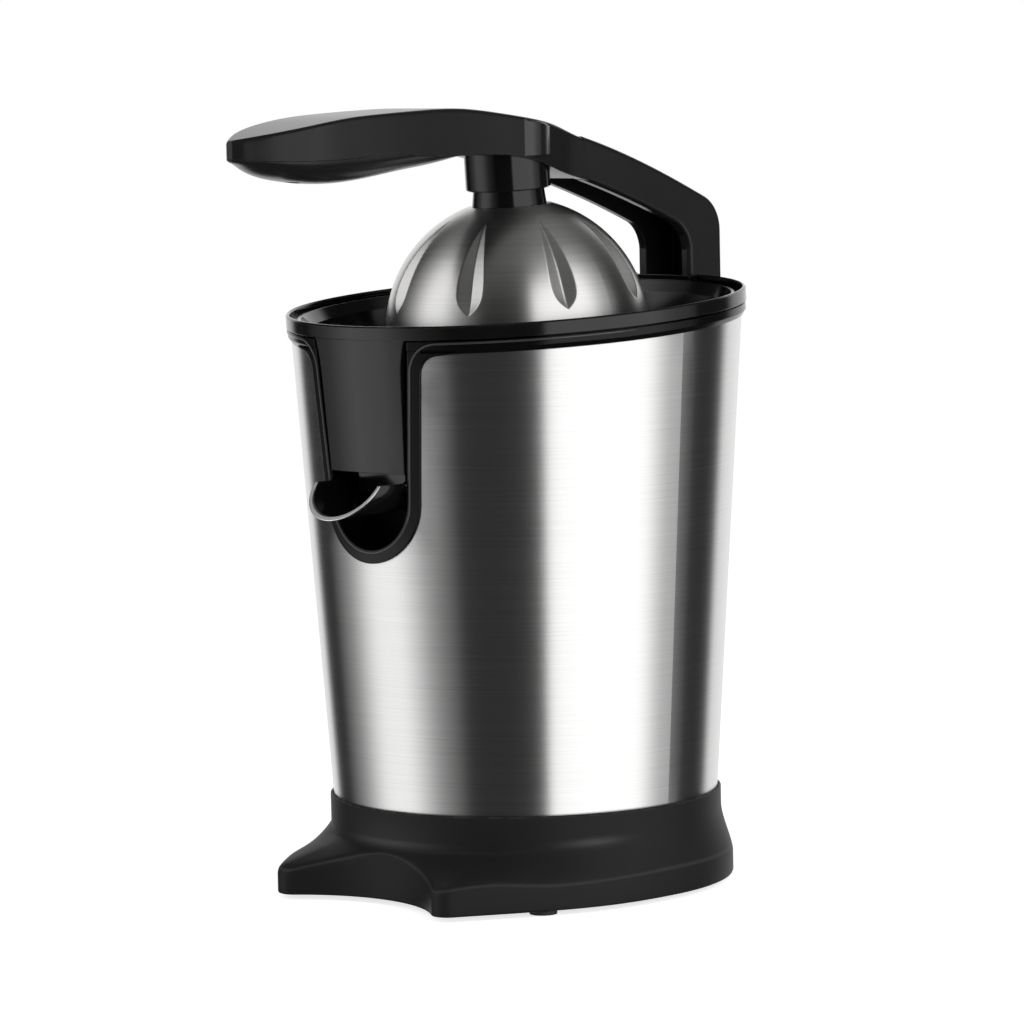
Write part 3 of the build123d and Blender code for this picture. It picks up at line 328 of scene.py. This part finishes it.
brushedSleeve = {
    "deep": (0.50, 0.50, 0.495), "pale": (0.78, 0.78, 0.775), "gloss": 0.3, "glossDrift": 0.06,
    "lines": 2600.0, "streaks": 14.0, "stretch": 0.88, "bump": 0.05, "bumpDepth": 0.0001, "softEdge": 0.0003}
paint(makeBrushed("brushedSleeve", brushedSleeve), "housing_sleeve")

spunDome = {
    "deep": (0.50, 0.495, 0.485), "pale": (0.74, 0.735, 0.725), "gloss": 0.32, "glossDrift": 0.06,
    "lines": 2200.0, "streaks": 20.0, "stretch": 0.7, "bump": 0.05, "bumpDepth": 0.0001, "softEdge": 0.001}
paint(makeBrushed("spunDome", spunDome), "press_dome", "sieve")

brightLip = {
    "deep": (0.88, 0.88, 0.88), "pale": (0.95, 0.95, 0.95), "gloss": 0.3, "glossDrift": 0.05,
    "lines": 900.0, "streaks": 120.0, "stretch": 0.0, "bump": 0.01, "bumpDepth": 0.0001, "softEdge": 0.0004}
paint(makeBrushed("brightLip", brightLip), "spout_lip")

machinedSteel = {
    "deep": (0.40, 0.40, 0.405), "pale": (0.56, 0.56, 0.57), "gloss": 0.34, "glossDrift": 0.08,
    "lines": 1600.0, "streaks": 400.0, "stretch": 0.3, "bump": 0.06, "bumpDepth": 0.0001, "softEdge": 0.0003}
steelFinish = makeBrushed("machinedSteel", machinedSteel)
paint(steelFinish, "base_screws", "bracket_screws", "handle_screws", "hinge_pin", "hinge_backing",
      "dome_spindle", "dome_nut", "dome_spring", "return_spring", "drive_shaft", "idler_axle",
      "drive_plate", "plate_spacers", "motor_can", "motor_cap", "motor_rotor")

bearingBronze = {
    "deep": (0.42, 0.28, 0.13), "pale": (0.60, 0.43, 0.22), "gloss": 0.45, "glossDrift": 0.1,
    "lines": 1400.0, "streaks": 900.0, "stretch": 0.0, "bump": 0.08, "bumpDepth": 0.0001, "softEdge": 0.0003}
paint(makeBrushed("bearingBronze", bearingBronze), "shaft_bush", "motor_bearings")

coilVarnish = {
    "deep": (0.20, 0.085, 0.035), "pale": (0.42, 0.20, 0.09), "gloss": 0.32, "glossDrift": 0.08,
    "lines": 1500.0, "streaks": 60.0, "stretch": 0.2, "bump": 0.5, "bumpDepth": 0.0003, "softEdge": 0.0003}
paint(makeBrushed("coilVarnish", coilVarnish), "motor_stator")
print("finishes on", len(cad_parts), "nodes")


# small helpers for shapes and meshes

def between(share, first, second):
    return first + (second - first) * share


def cubic(share, *ends):
    rest = 1.0 - share
    weights = (rest ** 3, 3 * rest * rest * share, 3 * rest * share * share, share ** 3)
    return sum(weight * end for weight, end in zip(weights, ends))


def tubeFaces(rings, around):
    # quads from each ring of points to the next, and a face over either end
    faces = [tuple(range(around)), tuple(reversed(range((rings - 1) * around, rings * around)))]
    for ring in range(rings - 1):
        start = ring * around
        for step in range(around):
            beside = (step + 1) % around
            faces.append((start + step, start + around + step, start + around + beside, start + beside))
    return faces


def newPiece(pieceName, points, faces, material, sharpTurn=None):
    mesh = bpy.data.meshes.new(pieceName)
    mesh.from_pydata(points, [], faces)
    mesh.shade_smooth()
    if sharpTurn is not None:
        mesh.set_sharp_from_angle(angle=math.radians(sharpTurn))
    mesh.materials.append(material)
    piece = bpy.data.objects.new(pieceName, mesh)
    bpy.context.scene.collection.objects.link(piece)
    return piece


# base: a cove runs from the neck to the skirt and out onto two prongs, with a round bite between them
# lengths are in metres from the body's axis, and turns in degrees from the front
# corner, coveTop, coveFoot, covePull and creaseHeight each go from the back to the toe

baseShape = {
    "neck": 0.0769, "top": 0.0364, "seat": 0.07575, "seatHeight": 0.033, "seatFall": 0.001, "inside": 0.0735,
    "bottom": 0.002, "plateInset": 0.0029, "plateTop": 0.0053, "insideFoot": 0.008, "lip": 0.0004,
    "back": 0.0813, "prong": (0.0418, 0.0872), "nose": 0.0065, "noseTurn": 32.0, "flankPull": (0.045, 0.04),
    "bite": 0.079, "corner": (0.0016, 0.0034), "cornerShare": 0.5, "footRound": 0.0008, "footCut": 0.3,
    "toeTurns": (75.0, 30.0), "coveTop": (0.029, 0.0225), "coveFoot": (0.0115, 0.0105),
    "ridge": 0.0032, "ridgeTurn": 34.0, "ridgeSpread": 12.0,
    "covePull": ((0.72, 0.7, 0.3), (0.82, 0.6, 0.4)), "searchSteps": 30, "slopeStep": 0.005,
    "biteSteps": 26, "noseSteps": 12, "flankSteps": 26, "backSteps": 30, "coveSteps": 12, "cornerSteps": 6,
    "paintedHighlight": 0.4, "neckRows": (0.0033, 0.0022, 0.0011), "crease": 1.0, "creaseHeight": (0.026, 0.0243),
    "creaseSpread": 0.0013, "creaseTurns": ((0.0, 16.0), (63.0, 8.0)), "sharpTurn": 35.0}


def baseOutline():
    # one half of the plan, from the middle of the bite to the middle of the back, as (sideways, forward)
    shape = baseShape
    prongX, prongY = shape["prong"]
    nose = shape["nose"]
    ahead = prongY - shape["bite"]
    biteRadius = (prongX ** 2 + ahead ** 2 - nose ** 2) / (2 * (ahead + nose))
    biteCentre = shape["bite"] + biteRadius
    meet = math.atan2(prongX, biteCentre - prongY)
    half = []
    for step in range(shape["biteSteps"]):
        turn = meet * step / shape["biteSteps"]
        half.append((biteRadius * math.sin(turn), biteCentre - biteRadius * math.cos(turn)))
    noseEnd = math.pi / 2 - math.radians(shape["noseTurn"])
    for step in range(shape["noseSteps"]):
        turn = between(step / shape["noseSteps"], -meet, noseEnd)
        half.append((prongX + nose * math.sin(turn), prongY + nose * math.cos(turn)))
    leaveX, leaveY = prongX + nose * math.sin(noseEnd), prongY + nose * math.cos(noseEnd)
    flankTurn = math.radians(shape["noseTurn"])
    nosePull, sidePull = shape["flankPull"]
    for step in range(shape["flankSteps"]):
        share = step / shape["flankSteps"]
        sideways = cubic(share, leaveX, leaveX + nosePull * math.sin(flankTurn), shape["back"], shape["back"])
        forward = cubic(share, leaveY, leaveY - nosePull * math.cos(flankTurn), sidePull, 0.0)
        half.append((sideways, forward))
    for step in range(shape["backSteps"] + 1):
        turn = math.pi / 2 * (1 + step / shape["backSteps"])
        half.append((shape["back"] * math.sin(turn), shape["back"] * math.cos(turn)))
    return half


def toeShare(turn):
    toeStart, toeFull = baseShape["toeTurns"]
    return min(max((toeStart - turn) / (toeStart - toeFull), 0.0), 1.0)


def baseProfile(sideways, forward):
    # closed loop of (radius, height) at one place on the outline
    shape = baseShape
    turn = math.atan2(abs(sideways), forward)
    reach = math.hypot(sideways, forward)
    prongX, prongY = shape["prong"]
    fullReach = reach
    if turn < math.atan2(prongX, prongY):
        fullReach = max(reach, (prongY + shape["nose"]) / math.cos(turn))
    toe = toeShare(math.degrees(turn))
    toe = toe * toe * (3 - 2 * toe)
    coveTop = between(toe, *shape["coveTop"])
    offRidge = (math.degrees(turn) - shape["ridgeTurn"]) / shape["ridgeSpread"]
    coveFoot = between(toe, *shape["coveFoot"]) + shape["ridge"] * math.exp(-offRidge * offRidge)
    drop, run, lift = (between(toe, *pair) for pair in zip(*shape["covePull"]))

    def cove(share):
        out = cubic(share, 0.0, 0.0, run, 1.0)
        down = cubic(share, 1.0, drop, lift, 0.0)
        return between(out, shape["neck"], fullReach), between(down, coveFoot, coveTop)

    corner = min(between(toe, *shape["corner"]), shape["cornerShare"] * (reach - shape["neck"]))
    low, high = 0.0, 1.0
    for attempt in range(shape["searchSteps"]):
        middle = (low + high) / 2
        if cove(middle)[0] < reach - corner:
            low = middle
        else:
            high = middle
    coveEnd = low
    before = cove(coveEnd - shape["slopeStep"])
    start = cove(coveEnd)
    fall = (start[1] - before[1]) / (start[0] - before[0])
    edge = start[1] + fall * corner
    side = edge - corner
    foot = shape["footRound"]
    cut = shape["footCut"] * foot
    inner = reach - shape["plateInset"]
    lip = shape["lip"]
    loop = [(shape["inside"], shape["seatHeight"] - shape["seatFall"]), (shape["seat"], shape["seatHeight"]),
            (shape["seat"], shape["top"] - lip), (shape["seat"] + lip, shape["top"]),
            (shape["neck"] - lip, shape["top"]), (shape["neck"], shape["top"] - lip)]
    loop += [(shape["neck"], coveTop + above) for above in shape["neckRows"]]
    loop += [cove(coveEnd * step / shape["coveSteps"]) for step in range(shape["coveSteps"] + 1)]
    for step in range(1, shape["cornerSteps"] + 1):
        share = step / shape["cornerSteps"]
        rest = 1.0 - share
        loop.append((rest * rest * start[0] + (1 - rest * rest) * reach,
                     rest * rest * start[1] + 2 * rest * share * edge + share * share * side))
    loop += [(reach, between(0.5, side, shape["bottom"] + foot)), (reach, shape["bottom"] + foot),
             (reach - cut, shape["bottom"] + cut), (reach - foot, shape["bottom"]),
             (inner, shape["bottom"]), (inner, shape["plateTop"]), (shape["inside"], shape["insideFoot"])]
    return loop


def makeBase():
    half = baseOutline()
    plan = half + [(-sideways, forward) for sideways, forward in reversed(half[1:-1])]
    points = []
    for sideways, forward in plan:
        reach = math.hypot(sideways, forward)
        for radius, height in baseProfile(sideways, forward):
            points.append((radius * sideways / reach, axisY - radius * forward / reach, height))
    rows = len(points) // len(plan)
    faces = []
    for column in range(len(plan)):
        here = column * rows
        following = (column + 1) % len(plan) * rows
        for row in range(rows):
            below = (row + 1) % rows
            faces.append((here + row, here + below, following + below, following + row))
    shell = newPiece("baseShell", points, faces, baseFinish, baseShape["sharpTurn"])

    # painted highlights: pale lines along the lower edge and in the crease under the neck, where the rounding
    # would catch the light; the seat and top take the first 6 rows
    shine = shell.data.attributes.new("paintedHighlight", "FLOAT", "POINT")
    neckRow = 6
    coveRow = neckRow + len(baseShape["neckRows"])
    cornerRow = coveRow + baseShape["coveSteps"] + baseShape["cornerSteps"] // 2
    for column, (sideways, forward) in enumerate(plan):
        shine.data[column * rows + cornerRow].value = baseShape["paintedHighlight"]
        turn = math.degrees(math.atan2(abs(sideways), forward))
        creaseHeight = between(toeShare(turn), *baseShape["creaseHeight"])
        lit = sum(math.exp(-((turn - middle) / spread) ** 2) for middle, spread in baseShape["creaseTurns"])
        for row in range(neckRow, coveRow + baseShape["coveSteps"] // 2):
            above = points[column * rows + row][2] - creaseHeight
            near = math.exp(-(above / baseShape["creaseSpread"]) ** 2)
            shine.data[column * rows + row].value = baseShape["crease"] * lit * near
    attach(shell, "body")
    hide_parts("base")


makeBase()
print("base shell made")


# round hub that swells from both sides of the arm above the dome's socket
# rays from above and from the side find the arm's own skin there

hubShape = {
    "front": 0.0102, "back": 0.0262, "low": 0.2847, "topInset": 0.0011, "bulge": 0.0018, "sunk": 0.0008,
    "edge": 0.0005, "steps": 20, "lookX": 0.016, "lookDown": 0.5, "lookIn": 0.1, "sharpTurn": 35.0}
hubMoulding = dict(armMoulding, ior=1.5, gloss=0.2)
hubFinish = makeMoulding("hubMoulding", hubMoulding)


def makeHub(pieceName, mark):
    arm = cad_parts["lever_arm"]
    skin = BVHTree.FromObject(arm, bpy.context.evaluated_depsgraph_get())
    steps = hubShape["steps"]
    points = []
    for step in range(steps + 1):
        share = step / steps
        along = between(share, hubShape["front"], hubShape["back"])
        above = Vector((mark * hubShape["lookX"], along, hubShape["lookDown"]))
        roof = skin.ray_cast(above, Vector((0.0, 0.0, -1.0)))[0]
        top = roof.z - hubShape["topInset"]
        middle = (top + hubShape["low"]) / 2
        aside = Vector((mark * hubShape["lookIn"], along, middle))
        wall = skin.ray_cast(aside, Vector((-mark, 0.0, 0.0)))[0]
        lift = hubShape["bulge"] * 4 * share * (1.0 - share)
        edge = min(hubShape["edge"], lift)
        for height, proud in ((hubShape["low"], -hubShape["sunk"]), (hubShape["low"], lift - edge),
                              (hubShape["low"] + edge, lift), (top - edge, lift), (top, lift - edge),
                              (top, -hubShape["sunk"])):
            points.append((wall.x + mark * proud, along, height))
    faces = tubeFaces(steps + 1, len(points) // (steps + 1))
    if mark < 0:
        faces = [face[::-1] for face in faces]
    hub = newPiece(pieceName, points, faces, hubFinish, hubShape["sharpTurn"])
    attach(hub, "arm")


makeHub("hubRight", 1)
makeHub("hubLeft", -1)
print("hub sides made")


# fine bead along the slot's trim, rounding into the collar, coloured pale as a painted highlight line, and
# the small webs in the trim's corners
# heights and drops are from the rim, and the bead settles from the collar onto the drum's cone

trimShape = {
    "rimHeight": 0.2288, "collarRadius": 0.0896, "beadDrop": 0.0067, "beadTurn": 74.0,
    "slotRadius": 0.021, "slotDrop": 0.0713, "slotSpread": 0.079, "corner": 0.012, "settle": (0.2, 0.4),
    "coneFoot": (0.0765, 0.0364), "coneSlope": 0.0677, "half": 0.00045, "proud": 0.0004, "sunk": 0.0007,
    "runSteps": 40, "cornerSteps": 14, "sideSteps": 16, "endSteps": 24, "around": 8,
    "taper": 6, "tipSize": 0.25, "sharpTurn": 50.0}
# the bead is coloured far paler than the black trim and collar: a painted highlight line along the trim's
# ridge
beadHighlightMoulding = {
    "deep": (0.03, 0.03, 0.0305), "pale": (0.045, 0.045, 0.046), "rubbedAndHighlight": (0.07, 0.07, 0.071),
    "gloss": 0.2, "glossDrift": 0.03, "grain": 2600.0, "peelScale": 240.0, "peel": 0.6,
    "bump": 0.02, "bumpDepth": 0.0002, "ior": 1.5,
    "rubRadius": 0.0003, "rubPatches": 300.0, "softEdge": 0.0002}
beadHighlightFinish = makeMoulding("beadHighlightMoulding", beadHighlightMoulding)
webShape = {
    "low": -0.0167, "collarLow": 0.0107, "collarReach": 0.0883, "roundX": 0.0368, "roundDrop": 0.02417,
    "roundRadius": 0.008, "start": 0.026, "end": 0.043, "lap": 0.0004, "tip": 0.0001,
    "deep": 0.0008, "proud": 0.00003, "steps": 20}


def onCone(height):
    footRadius, footHeight = trimShape["coneFoot"]
    return footRadius + (trimShape["rimHeight"] + height - footHeight) * trimShape["coneSlope"]


def leanHeight(ahead, drop):
    lean = math.radians(pressLean)
    return -drop * math.cos(lean) - ahead * math.sin(lean)


def onCollar(across):
    lean = math.radians(pressLean)
    drop = trimShape["beadDrop"]
    ahead = math.sqrt(trimShape["collarRadius"] ** 2 - across ** 2)
    forward = ahead * math.cos(lean) - drop * math.sin(lean)
    return leanHeight(ahead, drop), math.hypot(across, forward)


def beadPath():
    # (sideways, height, distance from the axis) from the collar to the slot's foot, then mirrored
    radius = trimShape["slotRadius"]
    corner = trimShape["corner"]
    topAt = radius + (trimShape["slotDrop"] - 2 * corner) * trimShape["slotSpread"]
    cornerX = topAt + corner
    cornerTop = onCollar(cornerX)[0]
    settleStart, settleRun = trimShape["settle"]
    path = []
    firstTurn = math.radians(trimShape["beadTurn"])
    lastTurn = math.asin(cornerX / trimShape["collarRadius"])
    for step in range(trimShape["runSteps"]):
        turn = between(step / trimShape["runSteps"], firstTurn, lastTurn)
        across = trimShape["collarRadius"] * math.sin(turn)
        path.append((across, *onCollar(across)))
    for step in range(trimShape["cornerSteps"]):
        share = step / trimShape["cornerSteps"]
        turn = math.pi / 2 * share
        across = cornerX - corner * math.sin(turn)
        height = cornerTop - corner * (1 - math.cos(turn))
        settle = min(max((share - settleStart) / settleRun, 0.0), 1.0)
        path.append((across, height, between(settle, onCollar(across)[1], onCone(height))))
    sideTop = cornerTop - corner
    for step in range(trimShape["sideSteps"]):
        share = step / trimShape["sideSteps"]
        height = between(share, sideTop, -trimShape["slotDrop"])
        path.append((between(share, topAt, radius), height, onCone(height)))
    for step in range(trimShape["endSteps"] // 2 + 1):
        turn = math.pi * step / trimShape["endSteps"]
        height = -trimShape["slotDrop"] - radius * math.sin(turn)
        path.append((radius * math.cos(turn), height, onCone(height)))
    return path + [(-across, height, reach) for across, height, reach in reversed(path[:-1])]


def outside(across, height, reach):
    ahead = math.sqrt(reach ** 2 - across ** 2)
    place = Vector((across, axisY - ahead, trimShape["rimHeight"] + height))
    return place, Vector((across, -ahead, 0.0)).normalized()


def trimPiece(pieceName, points, faces, material):
    piece = newPiece(pieceName, points, faces, material, trimShape["sharpTurn"])
    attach(piece, "body")


def makeBead():
    spots = [outside(*spot) for spot in beadPath()]
    around = trimShape["around"]
    points = []
    for index, (place, outward) in enumerate(spots):
        before = spots[max(index - 1, 0)][0]
        after = spots[min(index + 1, len(spots) - 1)][0]
        sideways = (after - before).cross(outward).normalized()
        fromEnd = min(index, len(spots) - 1 - index)
        size = between(min(1.0, fromEnd / trimShape["taper"]), trimShape["tipSize"], 1.0)
        for step in range(around):
            turn = 2 * math.pi * step / around
            depth = trimShape["proud"] if math.sin(turn) > 0 else trimShape["sunk"]
            offset = sideways * trimShape["half"] * math.cos(turn) + outward * depth * math.sin(turn)
            points.append(place + size * offset)
    trimPiece("trimBead", points, tubeFaces(len(spots), around), beadHighlightFinish)


def makeWeb(pieceName, mark):
    deep, proud = -webShape["deep"], webShape["proud"]
    points = []
    for step in range(webShape["steps"] + 1):
        across = between(step / webShape["steps"], webShape["start"], webShape["end"])
        ahead = math.sqrt(webShape["collarReach"] ** 2 - across ** 2)
        top = leanHeight(ahead, webShape["collarLow"]) + webShape["lap"]
        if across < webShape["roundX"]:
            fromRound = max(webShape["roundRadius"] ** 2 - (across - webShape["roundX"]) ** 2, 0.0)
            low = max(webShape["low"], -webShape["roundDrop"] + math.sqrt(fromRound))
        else:
            past = (across - webShape["roundX"]) / (webShape["end"] - webShape["roundX"])
            low = between(past, webShape["roundRadius"] - webShape["roundDrop"], top - webShape["tip"])
        for height, lift in ((low, deep), (low, proud), (top, proud), (top, deep)):
            points.append(outside(mark * across, height, onCone(height) + lift)[0])
    corners = len(points) // (webShape["steps"] + 1)
    faces = []
    for start in range(0, len(points) - corners, corners):
        following = start + corners
        for corner in range(corners):
            beside = (corner + 1) % corners
            quad = (start + corner, start + beside, following + beside, following + corner)
            faces.append(quad if mark < 0 else quad[::-1])
    ends = [tuple(range(corners)), tuple(reversed(range(len(points) - corners, len(points))))]
    faces += ends if mark > 0 else [end[::-1] for end in ends]
    trimPiece(pieceName, points, faces, collarFinish)


makeBead()
makeWeb("trimWebLeft", -1)
makeWeb("trimWebRight", 1)
print("trim bead and webs made")


# coil springs for the dome and the drive shaft, wound at one fixed length; the real ones close up as the dome
# rises and as the drive shaft is pressed down

springs = {
    "domeSpring": {
        "node": "dome_spring", "body": "arm", "coil": 0.008, "wire": 0.0013, "length": 0.0151,
        "turns": 6.0, "joint": "dome_slide", "travel": 0.004, "heldEnd": 1.0},
    "returnSpring": {
        "node": "return_spring", "body": "body", "coil": 0.0075, "wire": 0.0011, "length": 0.0099,
        "turns": 5.0, "joint": "spindle_press", "travel": 0.0025, "heldEnd": 0.0}}
springDetail = {"turnSteps": 32, "wireSteps": 8, "flatTurns": 0.8}


def makeSpring(springName, spring):
    lean = math.radians(pressLean)
    axis = Vector((0.0, -math.sin(lean), math.cos(lean)))
    ahead = Vector((0.0, math.cos(lean), math.sin(lean)))
    side = Vector((1.0, 0.0, 0.0))
    lowest, highest = (Vector(corner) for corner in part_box(spring["node"]))
    foot = (lowest + highest) / 2 - axis * spring["length"] / 2
    rings = int(spring["turns"] * springDetail["turnSteps"])
    around = springDetail["wireSteps"]
    flat = springDetail["flatTurns"]
    rise = spring["length"] - spring["wire"]
    points = []
    for ring in range(rings + 1):
        turned = spring["turns"] * ring / rings
        climbed = min(max((turned - flat) / (spring["turns"] - 2 * flat), 0.0), 1.0)
        height = spring["wire"] / 2 + rise * climbed
        outward = side * math.cos(2 * math.pi * turned) + ahead * math.sin(2 * math.pi * turned)
        for step in range(around):
            angle = 2 * math.pi * step / around
            reach = spring["coil"] + spring["wire"] / 2 * math.cos(angle)
            points.append(foot + outward * reach + axis * (height + spring["wire"] / 2 * math.sin(angle)))
    coil = newPiece(springName, points, tubeFaces(rings + 1, around), steelFinish)
    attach(coil, spring["body"])
    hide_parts(spring["node"])
    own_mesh(coil)


for springName, spring in springs.items():
    makeSpring(springName, spring)
print("springs wound:", len(springs))


# camera at the photograph's angle, turned round the drum's axis

shot = {
    "turn": 43.809, "yaw": 0.0896, "dip": 5.637, "roll": -1.2177,
    "distance": 1.98615, "height": 0.34119, "lens": 178.89}


def aimed(turn, dip, roll):
    forward = Vector((-math.sin(turn) * math.cos(dip), math.cos(turn) * math.cos(dip), -math.sin(dip)))
    level = Vector((math.cos(turn), math.sin(turn), 0.0))
    upright = level.cross(forward)
    right = level * math.cos(roll) + upright * math.sin(roll)
    up = upright * math.cos(roll) - level * math.sin(roll)
    return Matrix((right, up, -forward)).transposed().to_4x4()


def aroundAxis(turn, distance, height):
    return Vector((distance * math.sin(turn), axisY - distance * math.cos(turn), height))


shotTurn = math.radians(shot["turn"])
cameraData = bpy.data.cameras.new("camera")
cameraData.lens = shot["lens"]
camera = bpy.data.objects.new("camera", cameraData)
camera.matrix_world = (
    Matrix.Translation(aroundAxis(shotTurn, shot["distance"], shot["height"]))
    @ aimed(shotTurn + math.radians(shot["yaw"]), math.radians(shot["dip"]), math.radians(shot["roll"])))
bpy.context.scene.collection.objects.link(camera)
bpy.context.scene.camera = camera


# softboxes, each set by the turn from the camera's side of the object and by its fade across the width

softboxes = {
    "rightSoftbox": {
        "turn": 55.8, "distance": 1.1, "height": 0.2, "wide": 2.0, "tall": 2.4, "watts": 26.0,
        "fade": [(0.0, 1.0), (0.637, 1.0), (0.711, 0.62), (0.79, 0.41), (0.9, 0.3), (1.0, 0.15)]},
    "leftSoftbox": {
        "turn": -79.0, "distance": 1.1, "height": 0.2, "wide": 2.2, "tall": 2.4, "watts": 25.0,
        "fade": [(0.0, 0.03), (0.16, 0.16), (0.25, 0.28), (0.33, 0.55), (0.42, 0.9),
                 (0.58, 0.9), (0.67, 0.55), (0.75, 0.28), (0.84, 0.16), (1.0, 0.03)]}}


def fadeLamp(lampData, fade):
    lampData.use_nodes = True
    tree = lampData.node_tree
    tree.nodes.clear()
    output = addNode(tree, "ShaderNodeOutputLight")
    glow = addNode(tree, "ShaderNodeEmission")
    tree.links.new(glow.outputs["Emission"], output.inputs["Surface"])
    place = addNode(tree, "ShaderNodeNewGeometry")
    across = addNode(tree, "ShaderNodeSeparateXYZ")
    tree.links.new(place.outputs["Parametric"], across.inputs["Vector"])
    ramp = addNode(tree, "ShaderNodeValToRGB")
    stops = ramp.color_ramp.elements
    for spot, level in fade[len(stops):]:
        stops.new(spot)
    for stop, (spot, level) in zip(stops, fade):
        stop.position = spot
        stop.color = (level, level, level, 1.0)
    tree.links.new(across.outputs["X"], ramp.inputs["Fac"])
    tree.links.new(ramp.outputs["Color"], glow.inputs["Strength"])


for boxName, box in softboxes.items():
    lampData = bpy.data.lights.new(boxName, "AREA")
    lampData.shape = "RECTANGLE"
    lampData.size = box["wide"]
    lampData.size_y = box["tall"]
    lampData.energy = box["watts"]
    fadeLamp(lampData, box["fade"])
    lamp = bpy.data.objects.new(boxName, lampData)
    boxTurn = shotTurn + math.radians(box["turn"])
    stand = Matrix.Translation(aroundAxis(boxTurn, box["distance"], box["height"]))
    lamp.matrix_world = stand @ aimed(boxTurn, 0.0, 0.0)
    lamp.visible_camera = False
    bpy.context.scene.collection.objects.link(lamp)


# room: white to the camera; reflections see a white backdrop behind the object, a dim front half and
# a faint ceiling, and everything else gets an even fill

room = {
    "front": 0.03, "fill": 0.3, "backdropTurn": 172.5, "backdropEdge": 0.72, "backdropFull": 0.84,
    "ceiling": 0.12, "ceilingEdge": 0.35}


def makeRoom():
    world = bpy.data.worlds.new("room")
    world.use_nodes = True
    tree = world.node_tree
    tree.nodes.clear()
    output = addNode(tree, "ShaderNodeOutputWorld")
    background = addNode(tree, "ShaderNodeBackground")
    setInputs(background, Color=white)
    tree.links.new(background.outputs["Background"], output.inputs["Surface"])
    direction = addNode(tree, "ShaderNodeTexCoord")
    behind = addNode(tree, "ShaderNodeVectorMath", operation="DOT_PRODUCT")
    backTurn = shotTurn + math.radians(room["backdropTurn"])
    behind.inputs[1].default_value = (math.sin(backTurn), -math.cos(backTurn), 0.0)
    tree.links.new(direction.outputs["Generated"], behind.inputs[0])
    backdrop = addNode(tree, "ShaderNodeMapRange", interpolation_type="SMOOTHSTEP")
    setInputs(backdrop, From_Min=room["backdropEdge"], From_Max=room["backdropFull"], To_Min=room["front"])
    tree.links.new(behind.outputs["Value"], backdrop.inputs["Value"])
    height = addNode(tree, "ShaderNodeSeparateXYZ")
    tree.links.new(direction.outputs["Generated"], height.inputs["Vector"])
    ceiling = addNode(tree, "ShaderNodeMapRange", interpolation_type="SMOOTHSTEP")
    setInputs(ceiling, From_Min=room["ceilingEdge"], From_Max=1.0, To_Max=room["ceiling"])
    tree.links.new(height.outputs["Z"], ceiling.inputs["Value"])
    mirrored = math2(tree, "ADD", backdrop.outputs["Result"], ceiling.outputs["Result"])
    light = addNode(tree, "ShaderNodeLightPath")
    shiny = math2(tree, "MAXIMUM", light.outputs["Is Glossy Ray"], light.outputs["Is Transmission Ray"])
    indirect = remap(tree, shiny, room["fill"], mirrored)
    tree.links.new(remap(tree, light.outputs["Is Camera Ray"], indirect, 1.0), background.inputs["Strength"])
    bpy.context.scene.world = world


makeRoom()


# floor: pale paint with a glow that only the camera sees, so that it meets the white room

floorLook = {"half": 3.0, "paint": (0.8, 0.8, 0.8, 1.0), "roughness": 0.9, "glow": 0.752}


def makeFloor():
    half = floorLook["half"]
    mesh = bpy.data.meshes.new("floor")
    corners = [(-half, -half, 0.0), (half, -half, 0.0), (half, half, 0.0), (-half, half, 0.0)]
    mesh.from_pydata(corners, [], [(0, 1, 2, 3)])
    floor = bpy.data.objects.new("floor", mesh)
    bpy.context.scene.collection.objects.link(floor)
    floor.visible_glossy = False
    floor.visible_shadow = False
    material, tree, surface = newMaterial("floorPaint")
    setInputs(surface, Base_Color=floorLook["paint"], Roughness=floorLook["roughness"],
              Specular_IOR_Level=0.0, Emission_Color=white)
    light = addNode(tree, "ShaderNodeLightPath")
    glow = math2(tree, "MULTIPLY", light.outputs["Is Camera Ray"], floorLook["glow"])
    tree.links.new(glow, surface.inputs["Emission Strength"])
    mesh.materials.append(material)


makeFloor()
bpy.context.scene.view_settings.view_transform = "Standard"
print("camera, lights and floor ready")
